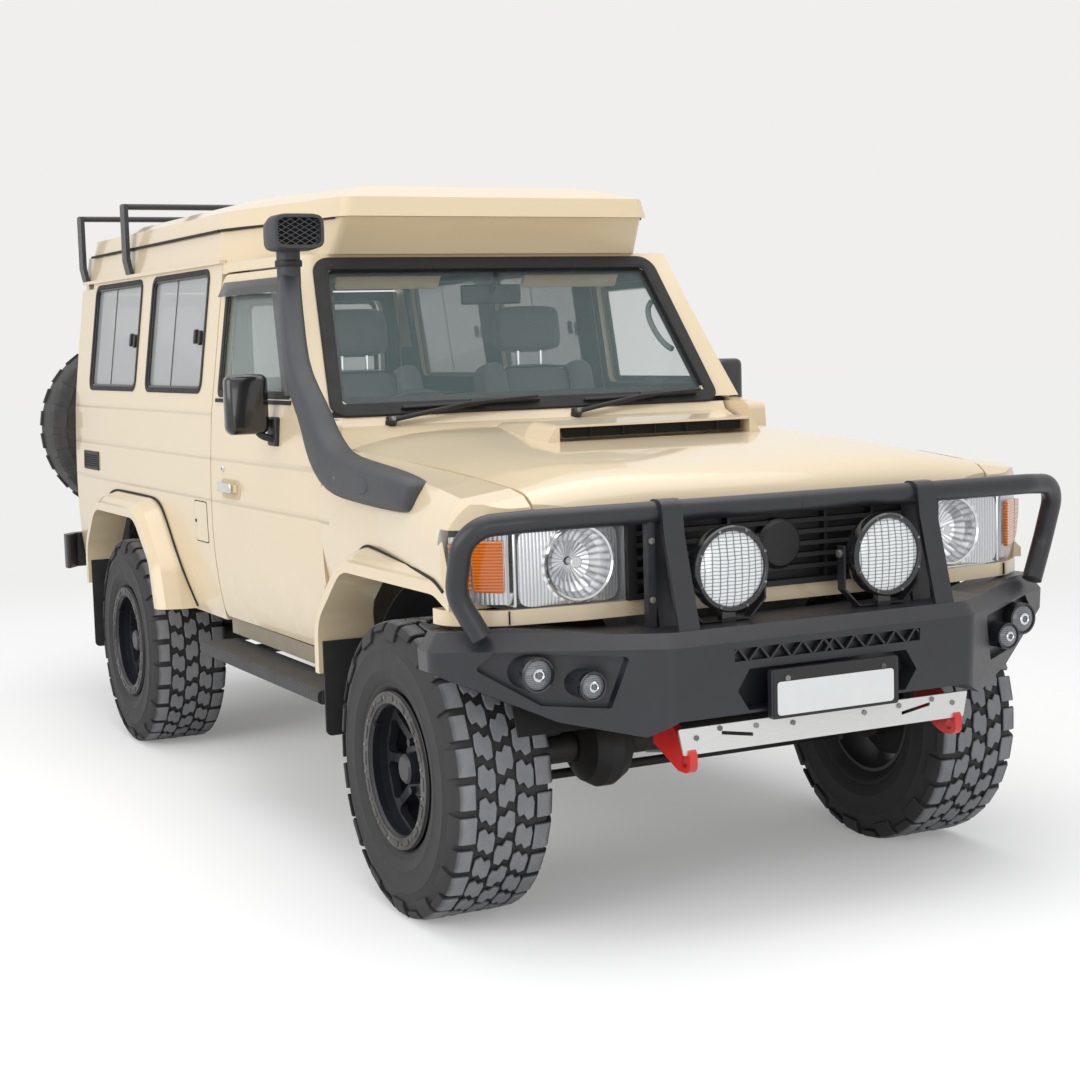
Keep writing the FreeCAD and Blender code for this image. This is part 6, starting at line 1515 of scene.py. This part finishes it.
FRONT_LINES = {}
for name, side in SIDES.items():
    fender = node_surface(f"fender_{name}")
    FRONT_LINES[side] = [on_fender(fender, side, *front_flare(*stop), 0.0025) for stop in LINE_STOPS]
print("front flare line", len(LINE_STOPS), "points a side")

# %% [markdown]
# The roof's lid lies on a ledge, with a seal along each side and across each front corner. The
# ledge's piece also takes the flare lines, the rear ones bent onto the body's skin, and the two
# short joints of the valance under the headlights.

# %% Roof ledge and seal lines
LID_SEAL_Z, LID_SEAL, FLARE_SEAL = 2.1095, 0.0055, 0.0045
LEDGE = [(-0.775, 0.14), (-0.590, -0.620), (0.590, -0.620), (0.775, 0.14), (0.775, 2.200),
         (-0.775, 2.200)]
LID_SEALS = (((0.790, 0.150), (0.790, 1.100), (0.790, 2.060)),
             ((0.614, -0.590), (0.700, -0.230), (0.788, 0.130)))
REAR_LINE = ((1.7245, 0.70), (1.7245, 0.800), (1.700, 0.905), (1.625, 1.010), (1.520, 1.064),
             (1.300, 1.066), (1.000, 1.066), (0.800, 1.062), (0.700, 0.985), (0.600, 0.855),
             (0.530, 0.760), (0.450, 0.655))
ledge = Piece("roof_ledge")
ledge.add(plate(LEDGE, 0.004, 0.040), "sand_paint", at(0, 0, 2.1035))
for side in (-1, 1):
    for points in LID_SEALS:
        ledge.add(pipe([(side * x, y, LID_SEAL_Z) for x, y in points], LID_SEAL), "gap_black")
    rear_line = [(side * (side_x(y, z) + 0.0035), y, z) for y, z in REAR_LINE]
    for line in (rear_line, FRONT_LINES[side]):
        ledge.add(pipe(line, FLARE_SEAL), "gap_black")
    ledge.add(block((0.0025, 0.006, 0.036)), "gap_black", at(side * 0.845, -2.3490, 0.929))
ledge.done("sand_paint")

# %% [markdown]
# The windows of the two rear doors sit in rubber seals, and the right door has a handle on a black
# plate. These pieces ride on their doors.

# %% Rear door fittings
PULL_MIDDLE_X, REAR_FACE_Y = 0.030, 2.2222
for name, low_x, high_x in (("right", -0.695, -0.205), ("left", 0.005, 0.695)):
    surround = Piece(f"rear_window_seal_{name}", f"rear_door_{name}")
    seal_ring = plate(oblong(low_x, high_x, 1.500, 1.902), 0.008, 0.050, 0.002, ring=0.024)
    surround.add(seal_ring, "seal_black", upright((0, 2.2200, 0)) @ at(0, 0, -0.006))
    surround.done("flap_rubber")

pull = Piece("rear_door_handle", "rear_door_right")
pull.add(plate(oblong(-0.085, 0.085, -0.030, 0.030), 0.003, 0.014, 0.001), "black_plastic",
         upright((PULL_MIDDLE_X, REAR_FACE_Y, 1.180), BACKWARDS))
bar = ((-0.07, 0), (-0.068, 0.022), (0, 0.030), (0.068, 0.022), (0.07, 0))
pull.add(pipe([(PULL_MIDDLE_X + u, REAR_FACE_Y + out, 1.183) for u, out in bar], 0.008, 4), "chrome")
pull.done("black_plastic")
